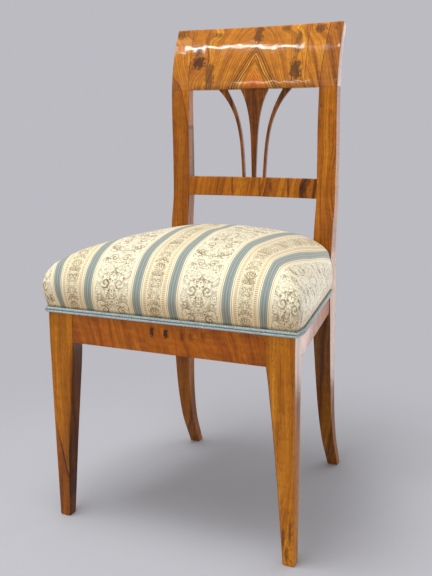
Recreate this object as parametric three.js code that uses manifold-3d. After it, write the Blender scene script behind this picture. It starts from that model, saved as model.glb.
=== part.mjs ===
// Lyre back chair: a polished walnut side chair with a fan-shaped back and a sprung, padded seat.
// Millimetres. +X is the viewer's right, -Y the front and +Z up. Left and right are as seen from the front.
import * as THREE from 'three';
import { mergeVertices } from 'three/addons/utils/BufferGeometryUtils.js';
import Module from 'manifold-3d';

const wasm = await Module();
wasm.setup();

// Overall sizes
const overallHeight = 900;
const overallDepth = 474;
const frontWidth = 456;
const backWidth = 348;

// Clearances and cuts
const gap = 0.3;
const hemGap = 0.4;
const cutOverrun = 40;
const leastRound = 0.6;
const tenonRoot = 6;

// Seat frame
const seatFrameTop = 412;
const frontRailHeight = 76;
const sideRailHeight = 64;
const railThickness = 22;
const sideRailInset = 1;
const backRailSetback = 8;
const veneerThickness = 1.5;
const webbingRebate = 13;

// Front legs
const legWidth = 48;
const legDepth = 31;
const legFootWidth = 20;
const legFootDepth = 19;
const legFootRecess = 12;
const legInnerRound = 8;
const legWidthShares = [[0, 0], [0.36, 0.32], [0.71, 0.71], [0.92, 0.95], [1, 1]];
const legDepthShares = [[0, 0], [0.27, 0.4], [0.54, 0.7], [1, 1]];
const legRecessShares = [[0, 1], [0.27, 0.7], [0.54, 0.4], [1, 0]];
const legRoundShares = [[0, 0.2], [0.3, 0.45], [0.6, 0.9], [0.85, 1], [0.96, 0.6], [1, 0]];

// Rear posts: the leg and the back stile in one piece
const postWidth = 37;
const postFootWidth = 22;
const postFootDepth = 19;
const postSeatDepth = 40;
const postBackDepth = 25;
const postFootSweep = 88;
const postRake = 18;
const postForwardRise = 8;
const postSweepShares = [[0, 1], [0.19, 0.53], [0.38, 0.295], [0.6, 0.16], [0.81, 0.075], [1, 0]];
const postRakeShares = [[0.22, 0.33], [0.45, 0.97], [0.64, 0.95], [0.9, 0.78], [1, 0.8]];
const postWidthShares = [[0, 0], [0.43, 0.5], [0.85, 0.94], [1, 1]];
const postDepthShares = [[0, 0], [0.43, 0.4], [0.85, 0.92], [1, 1]];
const postBackDepthShares = [[0, 0], [0.2, 0.5], [0.4, 0.93], [1, 1]];

// Crest rail
const crestHeight = 122;
const crestRoll = 35;
const crestThickness = 25;
const crestTopThickness = 17;
const crestHollow = 13.5;
const crestRollShares = [[0.18, 0.06], [0.4, 0.2], [0.67, 0.5], [1, 1]];

// Middle back rail
const middleRailHeight = 38;
const middleRailThickness = 18;
const middleRailHollow = 12;
const middleRailPlaceShare = 0.478;

// Fan of the back
const fanSetback = 32;
const splatThickness = 7;
const splatFootWidth = 8.4;
const splatHeadWidth = 58;
const splatFlarePower = 4.5;
const slatDepth = 8;
const slatFootPlace = 22;
const slatHeadPlace = 68;
const slatFootWidth = 5.5;
const slatHeadWidth = 13;
const slatFlarePower = 3.6;
const slatWidthPower = 6;
const steadyFlareShare = 0.2;
const fanTenonLength = 6;
const fanTenonShare = 0.7;

// Tenons
const frontTenon = { length: 24, width: 9, height: 24, rise: 16, setback: 13 };
const sideTenon = { length: 21, width: 9, height: 24, rise: 34 };
const backTenon = { length: 20, width: 9, height: 22, rise: 6 };
const middleTenon = { length: 18, width: 9, height: 22 };
const postTenon = { length: 28, width: 22, thickness: 9, setback: 14 };

// Corner braces
const braceHeight = 30;
const braceDrop = 12;
const braceWidth = 28;
const frontBraceOffset = 40;
const backBraceOffset = 9;
const braceSideReach = 50;

// Webbing and springs
const strapWidth = 50;
const strapThickness = 1.5;
const strapSpacingShare = 0.292;
const strapRowSpacingShare = 0.259;
const strapEndInset = 4;
const springEndRadius = 36;
const springWaistRadius = 22;
const springWire = 3.4;
const springTurns = 5.5;
const springStepsPerTurn = 8;
const springSides = 5;
const springEndFlatShare = 0.75;
const springStart = Math.PI / 2;
const springHeadGap = 0.8;

// Padding and cover
const hessianThickness = 1.2;
const hessianRise = 57;
const hessianEdgeShare = 0.955;
const hessianShares = [[0, 1], [0.12, 0.98], [0.3, 0.86], [0.5, 0.61], [0.7, 0.28], [0.85, 0.06], [1, 0]];
const hessianRingShares = [0.12, 0.3, 0.5, 0.7, 0.85];
const coverThickness = 1.5;
const coverSwell = 13;
const coverHemDrop = 24.5;
const coverCrown = 115;
const coverSideHeight = 60;
const coverCornerRound = 28;
const coverHemRound = 2.5;
const seatRearRound = 8;
const seatSideRound = 20;
const seatRearDraw = 6;
const crownEvenShare = 0.9;
const rearCalmShare = 0.6;
const rearCalmStart = -60;
const coverSideShares = [0.25, 0.45, 0.63, 0.82, 1];
const coverSwellShares = [[0.12, 0], [0.25, 0.35], [0.45, 0.85], [0.63, 1], [0.82, 0.87], [1, 0.37]];
const coverDomeShares = [[0.95, 0.14], [0.86, 0.34], [0.72, 0.58], [0.54, 0.78], [0.34, 0.92], [0.15, 0.99]];

// Braid along the lower edge of the cover
const gimpHeight = 10;
const gimpThickness = 2.3;

// Levels and steps that shape the meshes
const postLevels = 26;
const legLevels = 13;
const crestStations = 12;
const crestLevels = 9;
const middleStations = 8;
const fanSteps = 18;
const planShareSteps = 20;

// Places worked out from the sizes
const frontY = -overallDepth / 2 + coverSwell;
const forwardY = overallDepth / 2 - postFootDepth - postFootSweep;
const forwardHeight = seatFrameTop + postForwardRise;
const frontRailBottom = seatFrameTop - frontRailHeight;
const sideRailBottom = seatFrameTop - sideRailHeight;
const crestBottom = overallHeight - crestHeight;
const middleRailMiddle = seatFrameTop + middleRailPlaceShare * (crestBottom - seatFrameTop);
const middleRailBottom = middleRailMiddle - middleRailHeight / 2;
const middleRailTop = middleRailMiddle + middleRailHeight / 2;
const legInner = frontWidth / 2 - legWidth;
const postInner = backWidth / 2 - postWidth;
const legBackY = frontY + legDepth;
const backRailFrontY = forwardY + backRailSetback;
const backRailBackY = backRailFrontY + railThickness;
const frontRailBackY = frontY + railThickness;
const strapSpacing = strapSpacingShare * 2 * postInner;
const strapRowSpacing = strapRowSpacingShare * (backRailFrontY - frontRailBackY);
const strapRowMiddle = (frontRailBackY + backRailFrontY) / 2;
const strapMiddle = sideRailBottom - gap - strapThickness / 2;
const strapLift = (strapThickness + gap) / 2;

// Value at t on a smooth curve through [place, value] rows, held level past both ends.
function valueAt(rows, t) {
  const last = rows.length - 1;
  if (t <= rows[0][0]) return rows[0][1];
  if (t >= rows[last][0]) return rows[last][1];
  let i = 0;
  while (t > rows[i + 1][0]) i += 1;
  const slope = (a, b) => (rows[b][1] - rows[a][1]) / (rows[b][0] - rows[a][0]);
  const tangent = (k) => {
    if (k === 0) return slope(0, 1);
    if (k === last) return slope(last - 1, last);
    const before = slope(k - 1, k);
    const after = slope(k, k + 1);
    return before * after <= 0 ? 0 : (2 * before * after) / (before + after);
  };
  const span = rows[i + 1][0] - rows[i][0];
  const s = (t - rows[i][0]) / span;
  const rise = s * s * (3 - 2 * s);
  return (
    rows[i][1] * (1 - rise) +
    rows[i + 1][1] * rise +
    span * s * (1 - s) * (tangent(i) * (1 - s) - tangent(i + 1) * s)
  );
}

const scaled = (rows, places, size) => rows.map(([place, share]) => [places(place), share * size]);

// How far the post's front face lies behind its foremost line, at a height.
const backSpan = crestBottom - forwardHeight;
const postSetbackRows = [
  ...scaled(postSweepShares, (s) => s * forwardHeight, postFootSweep),
  ...scaled(postRakeShares, (s) => forwardHeight + s * backSpan, postRake),
  ...crestRollShares.map(([s, share]) => [
    crestBottom + s * crestHeight,
    postRakeShares.at(-1)[1] * postRake + share * crestRoll,
  ]),
];
const postFrontY = (z) => forwardY + valueAt(postSetbackRows, z);

const postWidthAt = (z) =>
  postFootWidth + (postWidth - postFootWidth) * valueAt(postWidthShares, z / seatFrameTop);

function postDepthAt(z) {
  if (z <= seatFrameTop) {
    return postFootDepth + (postSeatDepth - postFootDepth) * valueAt(postDepthShares, z / seatFrameTop);
  }
  const share = (z - seatFrameTop) / (crestBottom - seatFrameTop);
  return postSeatDepth + (postBackDepth - postSeatDepth) * valueAt(postBackDepthShares, share);
}

// Triangles that fill a flat ring, as indices into it, wound the same way as the ring.
function ringFill(ring) {
  const normal = new THREE.Vector3();
  ring.forEach((p, i) => normal.add(new THREE.Vector3().crossVectors(p, ring[(i + 1) % ring.length])));
  const [nx, ny, nz] = normal.toArray().map(Math.abs);
  const flat = ring.map(({ x, y, z }) => {
    if (nx > ny && nx > nz) return new THREE.Vector2(y, z);
    return ny > nz ? new THREE.Vector2(z, x) : new THREE.Vector2(x, y);
  });
  return THREE.ShapeUtils.triangulateShape(flat, []).map((face) => face.sort((a, b) => a - b));
}

// Faces between neighbouring rings of points, each square split along its shorter diagonal.
function sideFaces(rings) {
  const count = rings[0].length;
  const points = rings.flat();
  const faces = [];
  for (let k = 0; k + 1 < rings.length; k += 1) {
    for (let i = 0; i < count; i += 1) {
      const a = k * count + i;
      const b = k * count + ((i + 1) % count);
      const [c, d] = [b + count, a + count];
      const rising = points[a].distanceTo(points[c]) < points[b].distanceTo(points[d]);
      faces.push(...(rising ? [a, b, c, a, c, d] : [a, b, d, b, c, d]));
    }
  }
  return faces;
}

// A closed solid through flat rings of the same number of points.
function loft(rings) {
  const top = (rings.length - 1) * rings[0].length;
  const faces = sideFaces(rings);
  ringFill(rings[0]).forEach(([a, b, c]) => faces.push(a, c, b));
  ringFill(rings.at(-1)).forEach(([a, b, c]) => faces.push(top + a, top + b, top + c));
  return outward(rings.flat(), faces);
}

// A closed solid through rings that close to a point at each end.
function domedSolid(start, rings, end) {
  const count = rings[0].length;
  const points = [...rings.flat(), start, end];
  const faces = sideFaces(rings);
  const first = points.length - 2;
  const top = (rings.length - 1) * count;
  for (let i = 0; i < count; i += 1) {
    const next = (i + 1) % count;
    faces.push(first, next, i, first + 1, top + i, top + next);
  }
  return outward(points, faces);
}

// Indexed geometry with its faces turned so that they point out.
function outward(points, faces) {
  let volume = 0;
  for (let i = 0; i < faces.length; i += 3) {
    const [a, b, c] = [points[faces[i]], points[faces[i + 1]], points[faces[i + 2]]];
    volume += a.dot(new THREE.Vector3().crossVectors(b, c));
  }
  if (volume < 0) {
    for (let i = 0; i < faces.length; i += 3) {
      [faces[i + 1], faces[i + 2]] = [faces[i + 2], faces[i + 1]];
    }
  }
  return new THREE.BufferGeometry().setFromPoints(points).setIndex(faces);
}

function solidOf(geometry) {
  const bare = geometry.clone();
  bare.deleteAttribute('normal');
  bare.deleteAttribute('uv');
  const merged = mergeVertices(bare);
  const vertProperties = merged.attributes.position.array;
  const triVerts = new Uint32Array(merged.index.array);
  return new wasm.Manifold(new wasm.Mesh({ numProp: 3, vertProperties, triVerts }));
}

function geometryOf(solid) {
  const mesh = solid.getMesh();
  const geometry = new THREE.BufferGeometry();
  geometry.setAttribute('position', new THREE.BufferAttribute(mesh.vertProperties, 3));
  geometry.setIndex(new THREE.BufferAttribute(mesh.triVerts, 1));
  return geometry;
}

// A block between two corners.
function block(low, high) {
  const size = new THREE.Vector3().subVectors(high, low);
  const middle = new THREE.Vector3().addVectors(low, high).multiplyScalar(0.5);
  return solidOf(new THREE.BoxGeometry(size.x, size.y, size.z).translate(middle.x, middle.y, middle.z));
}

// A plan outline raised between two heights.
function prism(outline, bottom, top) {
  const shape = new THREE.Shape(outline.map(([x, y]) => new THREE.Vector2(x, y)));
  const geometry = new THREE.ExtrudeGeometry(shape, { depth: top - bottom, bevelEnabled: false });
  return solidOf(geometry.translate(0, 0, bottom));
}

const mirrored = (solid) => solid.mirror([1, 0, 0]);

// Seat plan: the legs and posts that the cover is pulled over, from the front left corner round.
const halfPlan = [
  [frontWidth / 2, frontY],
  [frontWidth / 2, legBackY],
  [backWidth / 2, forwardY],
  [backWidth / 2 - seatRearDraw, backRailBackY],
];
const otherHalf = halfPlan.map(([x, y]) => [-x, y]);
const plan = [otherHalf[0], ...halfPlan, ...otherHalf.slice(1).reverse()];
const planMiddleY = (frontY + backRailBackY) / 2;
const planReach = (frontWidth + backWidth) / 4;

// Line of the plan's edge i moved outward, as a point and a direction.
function planEdge(i, outwardBy) {
  const [ax, ay] = plan[i];
  const [bx, by] = plan[(i + 1) % plan.length];
  const direction = new THREE.Vector2(bx - ax, by - ay).normalize();
  const normal = new THREE.Vector2(direction.y, -direction.x);
  return { point: new THREE.Vector2(ax, ay).addScaledVector(normal, outwardBy), direction };
}

// Corner i of the plan when its edges are moved outward.
function planCorner(i, outwardBy) {
  const before = planEdge((i + plan.length - 1) % plan.length, outwardBy);
  const after = planEdge(i, outwardBy);
  const across = new THREE.Vector2().subVectors(after.point, before.point);
  const reach = across.cross(after.direction) / before.direction.cross(after.direction);
  return before.point.clone().addScaledVector(before.direction, reach);
}

// Share of a point's reach that a ring keeps there, evened toward a circle as the ring shrinks.
const evened = (shrink, reach) => shrink * (1 + crownEvenShare * (1 - shrink) * (planReach / reach - 1));

// Outline of the plan moved outward, with rounded corners, as evenly spread points.
const cornerPoints = [5, 5, 2, 2, 3, 3, 2, 2];
const edgePoints = [7, 0, 5, 0, 5, 0, 5, 0];
function planOutline(swell, round) {
  const sideRounds = [seatSideRound, seatSideRound];
  const rounds = [round, round, ...sideRounds, seatRearRound, seatRearRound, ...sideRounds];
  const corners = plan.map((_, i) => {
    const before = planEdge((i + plan.length - 1) % plan.length, swell).direction;
    const after = planEdge(i, swell).direction;
    const turn = Math.atan2(before.cross(after), before.dot(after));
    const radius = rounds[i] * Math.sign(turn);
    const start = planCorner(i, swell).addScaledVector(before, -radius * Math.tan(turn / 2));
    const centre = start.clone().add(new THREE.Vector2(-before.y, before.x).multiplyScalar(radius));
    const spoke = new THREE.Vector2().subVectors(start, centre);
    const steps = cornerPoints[i] - 1;
    return Array.from({ length: steps + 1 }, (_, k) =>
      spoke.clone().rotateAround(new THREE.Vector2(), (turn * k) / steps).add(centre),
    );
  });
  return corners.flatMap((arc, i) => {
    const next = corners[(i + 1) % corners.length][0];
    const along = Array.from({ length: edgePoints[i] }, (_, k) =>
      arc.at(-1).clone().lerp(next, (k + 1) / (edgePoints[i] + 1)),
    );
    return [...arc, ...along];
  });
}

// Ring of that outline at a height, swelling less beside the posts, shrunk about the middle.
function planRing({ swell, rearSwell = swell, round, shrink, z }) {
  const calm = planOutline(rearSwell, round);
  return planOutline(swell, round).map((p, i) => {
    p.lerp(calm[i], THREE.MathUtils.smoothstep(p.y, rearCalmStart, forwardY));
    const share = evened(shrink, Math.hypot(p.x, p.y - planMiddleY));
    return new THREE.Vector3(p.x * share, planMiddleY + (p.y - planMiddleY) * share, z);
  });
}

// How far out a point lies, as the shrink of the ring that passes through it.
function planShare(x, y) {
  const middle = new THREE.Vector2(0, planMiddleY);
  const spoke = new THREE.Vector2(x, y).sub(middle);
  const direct = Math.max(
    ...plan.map((_, i) => {
      const { point, direction } = planEdge(i, 0);
      const normal = new THREE.Vector2(direction.y, -direction.x);
      return spoke.dot(normal) / new THREE.Vector2().subVectors(point, middle).dot(normal);
    }),
  );
  const reach = spoke.length() / direct;
  let [low, high] = [0, 1];
  for (let k = 0; k < planShareSteps; k += 1) {
    const half = (low + high) / 2;
    if (evened(half, reach) < direct) low = half;
    else high = half;
  }
  return high;
}

// Region that the right post and the air beyond it take out of the padding.
function postCutter() {
  const bottom = frontRailBottom;
  const top = seatFrameTop + coverCrown + cutOverrun;
  const levels = 12;
  const rings = Array.from({ length: levels + 1 }, (_, k) => {
    const z = bottom + ((top - bottom) * k) / levels;
    const left = postInner - gap;
    const right = frontWidth / 2 + cutOverrun;
    const near = postFrontY(z) - hemGap;
    const far = overallDepth / 2 + cutOverrun;
    return [
      new THREE.Vector3(left, near, z),
      new THREE.Vector3(right, near, z),
      new THREE.Vector3(right, far, z),
      new THREE.Vector3(left, far, z),
    ];
  });
  return solidOf(loft(rings));
}

// Outer line of the right side rail, moved inward by a depth, at a place along Y.
const railStart = new THREE.Vector2(frontWidth / 2 - sideRailInset, legBackY);
const railEnd = new THREE.Vector2(backWidth / 2 - sideRailInset, forwardY);
const railRun = new THREE.Vector2().subVectors(railEnd, railStart);
const railLean = Math.atan2(-railRun.x, railRun.y);
const sideRailX = (y, depth) =>
  railStart.x + (railRun.x * (y - railStart.y)) / railRun.y - depth / Math.cos(railLean);

// A tenon on the right side rail's middle line, grown by a clearance, with its middle at a place along Y.
function sideRailTenon(middleY, clearance) {
  const size = [sideTenon.width + clearance * 2, sideTenon.length * 2, sideTenon.height + clearance * 2];
  const middleX = sideRailX(middleY, veneerThickness + gap + (railThickness - veneerThickness - gap) / 2);
  const geometry = new THREE.BoxGeometry(...size)
    .rotateZ(railLean)
    .translate(middleX, middleY, sideRailBottom + sideTenon.rise + sideTenon.height / 2);
  return solidOf(geometry);
}
const sideTenonHeight = sideRailBottom + sideTenon.rise;

// Tenon of the front rail at the right leg, grown by a clearance.
function frontRailTenon(clearance) {
  const middleY = frontY + frontTenon.setback;
  const bottom = frontRailBottom + frontTenon.rise;
  return block(
    new THREE.Vector3(legInner - tenonRoot, middleY - frontTenon.width / 2 - clearance, bottom - clearance),
    new THREE.Vector3(
      legInner + frontTenon.length + clearance,
      middleY + frontTenon.width / 2 + clearance,
      bottom + frontTenon.height + clearance,
    ),
  );
}

// Tenon of the back rail at the right post, grown by a clearance.
function backRailTenon(clearance) {
  const middleY = backRailFrontY + railThickness / 2;
  const bottom = sideRailBottom + backTenon.rise;
  return block(
    new THREE.Vector3(postInner - tenonRoot, middleY - backTenon.width / 2 - clearance, bottom - clearance),
    new THREE.Vector3(
      postInner + backTenon.length + clearance,
      middleY + backTenon.width / 2 + clearance,
      bottom + backTenon.height + clearance,
    ),
  );
}

// Tenon of the middle rail at the right post, grown by a clearance.
function middleRailTenon(clearance) {
  const middleY = postFrontY(middleRailMiddle) + middleRailThickness / 2;
  return block(
    new THREE.Vector3(
      postInner - tenonRoot,
      middleY - middleTenon.width / 2 - clearance,
      middleRailMiddle - middleTenon.height / 2 - clearance,
    ),
    new THREE.Vector3(
      postInner + middleTenon.length + clearance,
      middleY + middleTenon.width / 2 + clearance,
      middleRailMiddle + middleTenon.height / 2 + clearance,
    ),
  );
}

// Tenon on top of the right post, grown by a clearance.
function crestTenon(clearance) {
  const middleX = backWidth / 2 - postWidth / 2;
  const middleY = postFrontY(crestBottom) + postTenon.setback;
  return block(
    new THREE.Vector3(
      middleX - postTenon.width / 2 - clearance,
      middleY - postTenon.thickness / 2 - clearance,
      crestBottom - postTenon.length / 2,
    ),
    new THREE.Vector3(
      middleX + postTenon.width / 2 + clearance,
      middleY + postTenon.thickness / 2 + clearance,
      crestBottom + postTenon.length + clearance,
    ),
  );
}

// Right front leg: square at the rail, tapering inward and back to a small foot.
function frontLeg() {
  const ring = (z) => {
    const t = z / frontRailBottom;
    const width = legFootWidth + (legWidth - legFootWidth) * valueAt(legWidthShares, t);
    const depth = legFootDepth + (legDepth - legFootDepth) * valueAt(legDepthShares, t);
    const round = Math.max(leastRound, legInnerRound * valueAt(legRoundShares, t));
    const front = frontY + legFootRecess * valueAt(legRecessShares, t);
    const outer = frontWidth / 2;
    const inner = outer - width;
    const arc = [0, 1, 2].map((k) => {
      const angle = (Math.PI / 4) * k;
      return new THREE.Vector3(
        inner + round * (1 - Math.cos(angle)),
        front + round * (1 - Math.sin(angle)),
        z,
      );
    });
    return [
      new THREE.Vector3(outer, front, z),
      new THREE.Vector3(outer, front + depth, z),
      new THREE.Vector3(inner, front + depth, z),
      ...arc,
    ];
  };
  const rings = Array.from({ length: legLevels }, (_, k) => ring((frontRailBottom * k) / (legLevels - 1)));
  rings.push(ring(frontRailBottom).map((p) => new THREE.Vector3(p.x, p.y, seatFrameTop)));
  return solidOf(loft(rings)).subtract(frontRailTenon(gap)).subtract(sideRailTenon(legBackY, gap));
}

// Right rear post: swept leg below the seat, raked stile above it, tenoned into the crest rail.
function rearPost() {
  const top = crestBottom - gap;
  const rings = Array.from({ length: postLevels + 1 }, (_, k) => {
    const z = (top * k) / postLevels;
    const front = postFrontY(z);
    const back = front + postDepthAt(z);
    const outer = backWidth / 2;
    const inner = outer - postWidthAt(z);
    return [
      new THREE.Vector3(inner, front, z),
      new THREE.Vector3(outer, front, z),
      new THREE.Vector3(outer, back, z),
      new THREE.Vector3(inner, back, z),
    ];
  });
  return solidOf(loft(rings))
    .add(crestTenon(0))
    .subtract(sideRailTenon(postFrontY(sideTenonHeight), gap))
    .subtract(backRailTenon(gap))
    .subtract(middleRailTenon(gap));
}

// Front rail, rebated inside for the webbing, with a tenon at each end.
function frontRail() {
  const reach = legInner - gap;
  const rebateFront = frontRailBackY - webbingRebate;
  const body = block(
    new THREE.Vector3(-reach, frontY + veneerThickness + gap, frontRailBottom),
    new THREE.Vector3(reach, frontRailBackY, seatFrameTop),
  );
  const rebate = block(
    new THREE.Vector3(-reach - cutOverrun, rebateFront, frontRailBottom - cutOverrun),
    new THREE.Vector3(reach + cutOverrun, frontRailBackY + cutOverrun, sideRailBottom),
  );
  return body.subtract(rebate).add(frontRailTenon(0)).add(mirrored(frontRailTenon(0)));
}

// Back rail between the posts, with a tenon at each end.
function backRail() {
  const reach = postInner - gap;
  const body = block(
    new THREE.Vector3(-reach, backRailFrontY, sideRailBottom),
    new THREE.Vector3(reach, backRailBackY, seatFrameTop),
  );
  return body.add(backRailTenon(0)).add(mirrored(backRailTenon(0)));
}

// Right side rail or its veneer: a slab between two depths that meets the leg and the sloping post.
function sideSlab(outerDepth, innerDepth, top) {
  const levels = 4;
  const rings = Array.from({ length: levels + 1 }, (_, k) => {
    const z = sideRailBottom + ((top - sideRailBottom) * k) / levels;
    const near = legBackY + gap;
    const far = postFrontY(z) - gap;
    return [
      new THREE.Vector3(sideRailX(near, innerDepth), near, z),
      new THREE.Vector3(sideRailX(near, outerDepth), near, z),
      new THREE.Vector3(sideRailX(far, outerDepth), far, z),
      new THREE.Vector3(sideRailX(far, innerDepth), far, z),
    ];
  });
  return solidOf(loft(rings));
}

const sideRail = () =>
  sideSlab(veneerThickness + gap, railThickness, seatFrameTop)
    .add(sideRailTenon(legBackY, 0))
    .add(sideRailTenon(postFrontY(sideTenonHeight), 0));

const sideVeneer = () => sideSlab(0, veneerThickness, seatFrameTop);

const frontVeneer = () =>
  block(
    new THREE.Vector3(-legInner + gap, frontY, frontRailBottom),
    new THREE.Vector3(legInner - gap, frontY + veneerThickness, seatFrameTop),
  );

// Brace across the right front corner, from the front rail to the side rail.
function frontBrace() {
  const railFace = frontRailBackY + gap;
  const sideDepth = railThickness + gap;
  const nearY = railFace + braceSideReach;
  const farY = nearY + braceWidth;
  const outerX = legInner - frontBraceOffset;
  const top = seatFrameTop - braceDrop;
  return prism(
    [
      [outerX - braceWidth, railFace],
      [outerX, railFace],
      [sideRailX(nearY, sideDepth), nearY],
      [sideRailX(farY, sideDepth), farY],
    ],
    top - braceHeight,
    top,
  );
}

// Brace across the right back corner, from the back rail to the side rail.
function backBrace() {
  const railFace = backRailFrontY - gap;
  const sideDepth = railThickness + gap;
  const nearY = railFace - braceSideReach;
  const farY = nearY - braceWidth;
  const outerX = postInner - backBraceOffset;
  const top = seatFrameTop - braceDrop;
  return prism(
    [
      [outerX - braceWidth, railFace],
      [sideRailX(farY, sideDepth), farY],
      [sideRailX(nearY, sideDepth), nearY],
      [outerX, railFace],
    ],
    top - braceHeight,
    top,
  );
}

// Crest rail section at x between two depths behind its front face, leaning back as it rises.
function crestSection(x, nearDepth, farDepth) {
  const hollow = crestHollow * (1 - (x / (backWidth / 2)) ** 2);
  const at = (z, depth) => {
    const step = crestHeight / crestLevels / 2;
    const low = Math.max(crestBottom, z - step);
    const high = Math.min(overallHeight, z + step);
    const lean = z === crestBottom ? 0 : Math.atan2(postFrontY(high) - postFrontY(low), high - low);
    return new THREE.Vector3(
      x,
      postFrontY(z) + hollow + depth * Math.cos(lean),
      z - depth * Math.sin(lean),
    );
  };
  const steps = Array.from({ length: crestLevels + 1 }, (_, k) => k / crestLevels);
  const levels = steps.map((share) => crestBottom + crestHeight * share);
  const far = (z) => farDepth((z - crestBottom) / crestHeight);
  return [
    ...levels.map((z) => at(z, nearDepth)),
    ...levels.reverse().map((z) => at(z, far(z))),
  ];
}

function crestLoft(nearDepth, farDepth) {
  const rings = Array.from({ length: crestStations + 1 }, (_, k) =>
    crestSection((backWidth * k) / crestStations - backWidth / 2, nearDepth, farDepth),
  );
  return solidOf(loft(rings));
}

function crestRail() {
  const thickness = (share) => crestThickness + (crestTopThickness - crestThickness) * share;
  return crestLoft(veneerThickness + gap, thickness)
    .subtract(crestTenon(gap))
    .subtract(mirrored(crestTenon(gap)))
    .subtract(splatBlank(gap))
    .subtract(slatBlank(gap))
    .subtract(mirrored(slatBlank(gap)));
}

const crestVeneer = () => crestLoft(0, () => veneerThickness);

// Middle back rail or its veneer, hollowed in plan like the crest rail.
function middleLoft(nearDepth, farDepth) {
  const reach = postInner - gap;
  const rings = Array.from({ length: middleStations + 1 }, (_, k) => {
    const x = (2 * reach * k) / middleStations - reach;
    const front = postFrontY(middleRailMiddle) + middleRailHollow * (1 - (x / postInner) ** 2);
    return [
      new THREE.Vector3(x, front + nearDepth, middleRailBottom),
      new THREE.Vector3(x, front + farDepth, middleRailBottom),
      new THREE.Vector3(x, front + farDepth, middleRailTop),
      new THREE.Vector3(x, front + nearDepth, middleRailTop),
    ];
  });
  return solidOf(loft(rings));
}

const middleRail = () =>
  middleLoft(veneerThickness + gap, middleRailThickness)
    .add(middleRailTenon(0))
    .add(mirrored(middleRailTenon(0)))
    .subtract(splatBlank(gap))
    .subtract(slatBlank(gap))
    .subtract(mirrored(slatBlank(gap)));

const middleVeneer = () => middleLoft(0, veneerThickness);

// Fan piece: an upright outline with a narrower tenon at each end, as thick as it is deep.
function fanPiece(middleAt, halfWidthAt, depth, clearance) {
  const bottom = middleRailTop;
  const top = crestBottom;
  const side = (sign) =>
    Array.from({ length: fanSteps + 1 }, (_, k) => {
      const t = k / fanSteps;
      const z = bottom + gap + (top - bottom - gap * 2) * t;
      return [middleAt(t) + sign * (halfWidthAt(t) + clearance), z];
    });
  const tenon = (t, z) => [
    [middleAt(t) - halfWidthAt(t) * fanTenonShare - clearance, z],
    [middleAt(t) + halfWidthAt(t) * fanTenonShare + clearance, z],
  ];
  const foot = bottom - fanTenonLength - clearance;
  const head = top + fanTenonLength + clearance;
  const [footLeft, footRight] = tenon(0, foot);
  const [headLeft, headRight] = tenon(1, head);
  const outline = [
    footLeft,
    footRight,
    [footRight[0], bottom + gap],
    ...side(1),
    [headRight[0], top - gap],
    headRight,
    headLeft,
    [headLeft[0], top - gap],
    ...side(-1).reverse(),
    [footLeft[0], bottom + gap],
  ];
  const front = forwardY + fanSetback - clearance;
  const shape = new THREE.Shape(outline.map(([x, z]) => new THREE.Vector2(x, z)));
  const geometry = new THREE.ExtrudeGeometry(shape, { depth: depth + clearance * 2, bevelEnabled: false });
  return solidOf(geometry.rotateX(Math.PI / 2).translate(0, front + depth + clearance * 2, 0));
}

const flare = (t, power) => steadyFlareShare * t + (1 - steadyFlareShare) * t ** power;

function splatBlank(clearance) {
  const halfWidthAt = (t) =>
    (splatFootWidth + (splatHeadWidth - splatFootWidth) * flare(t, splatFlarePower)) / 2;
  return fanPiece(() => 0, halfWidthAt, splatThickness, clearance);
}

function slatBlank(clearance) {
  const run = crestBottom - middleRailTop;
  const middleAt = (t) => slatFootPlace + (slatHeadPlace - slatFootPlace) * flare(t, slatFlarePower);
  const halfWidthAt = (t) => {
    const slope =
      ((slatHeadPlace - slatFootPlace) / run) *
      (steadyFlareShare + (1 - steadyFlareShare) * slatFlarePower * t ** (slatFlarePower - 1));
    const across = slatFootWidth + (slatHeadWidth - slatFootWidth) * t ** slatWidthPower;
    return (across * Math.hypot(1, slope)) / 2;
  };
  return fanPiece(middleAt, halfWidthAt, slatDepth, clearance);
}

// Webbing strap that passes over and under the straps that it crosses. Along Y it runs front to back.
function strap(place, row, alongY) {
  const crossings = alongY
    ? [-1, 0, 1].map((k) => strapRowMiddle + k * strapRowSpacing)
    : [-1, 0, 1].map((k) => k * strapSpacing);
  const sideEnd = sideRailX(place, strapEndInset + veneerThickness);
  const sideFace = sideRailX(place, railThickness);
  const [start, end] = alongY
    ? [frontRailBackY - webbingRebate + gap, backRailBackY - strapEndInset]
    : [-sideEnd, sideEnd];
  const [startFace, endFace] = alongY ? [frontRailBackY, backRailFrontY] : [-sideFace, sideFace];
  const stations = [
    [start, 0],
    [startFace, 0],
  ];
  crossings.forEach((middle, column) => {
    const over = (row + column) % 2 === 0 ? alongY : !alongY;
    const lift = over ? strapLift : -strapLift;
    const half = strapWidth / 2 + strapThickness;
    stations.push([middle - half, lift], [middle + half, lift]);
  });
  stations.push([endFace, 0], [end, 0]);
  const rings = stations.map(([along, lift]) =>
    [
      [-strapWidth / 2, -strapThickness / 2],
      [strapWidth / 2, -strapThickness / 2],
      [strapWidth / 2, strapThickness / 2],
      [-strapWidth / 2, strapThickness / 2],
    ].map(([across, up]) => {
      const z = strapMiddle + lift + up;
      const [x, y] = alongY ? [place + across, along] : [along, place + across];
      return new THREE.Vector3(x, y, z);
    }),
  );
  return solidOf(loft(rings));
}

// Height of the hessian's top face at a share of the way out to the plan's edge.
const hessianTop = (share) =>
  seatFrameTop + gap + hessianThickness + hessianRise * valueAt(hessianShares, share / hessianEdgeShare);

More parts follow.
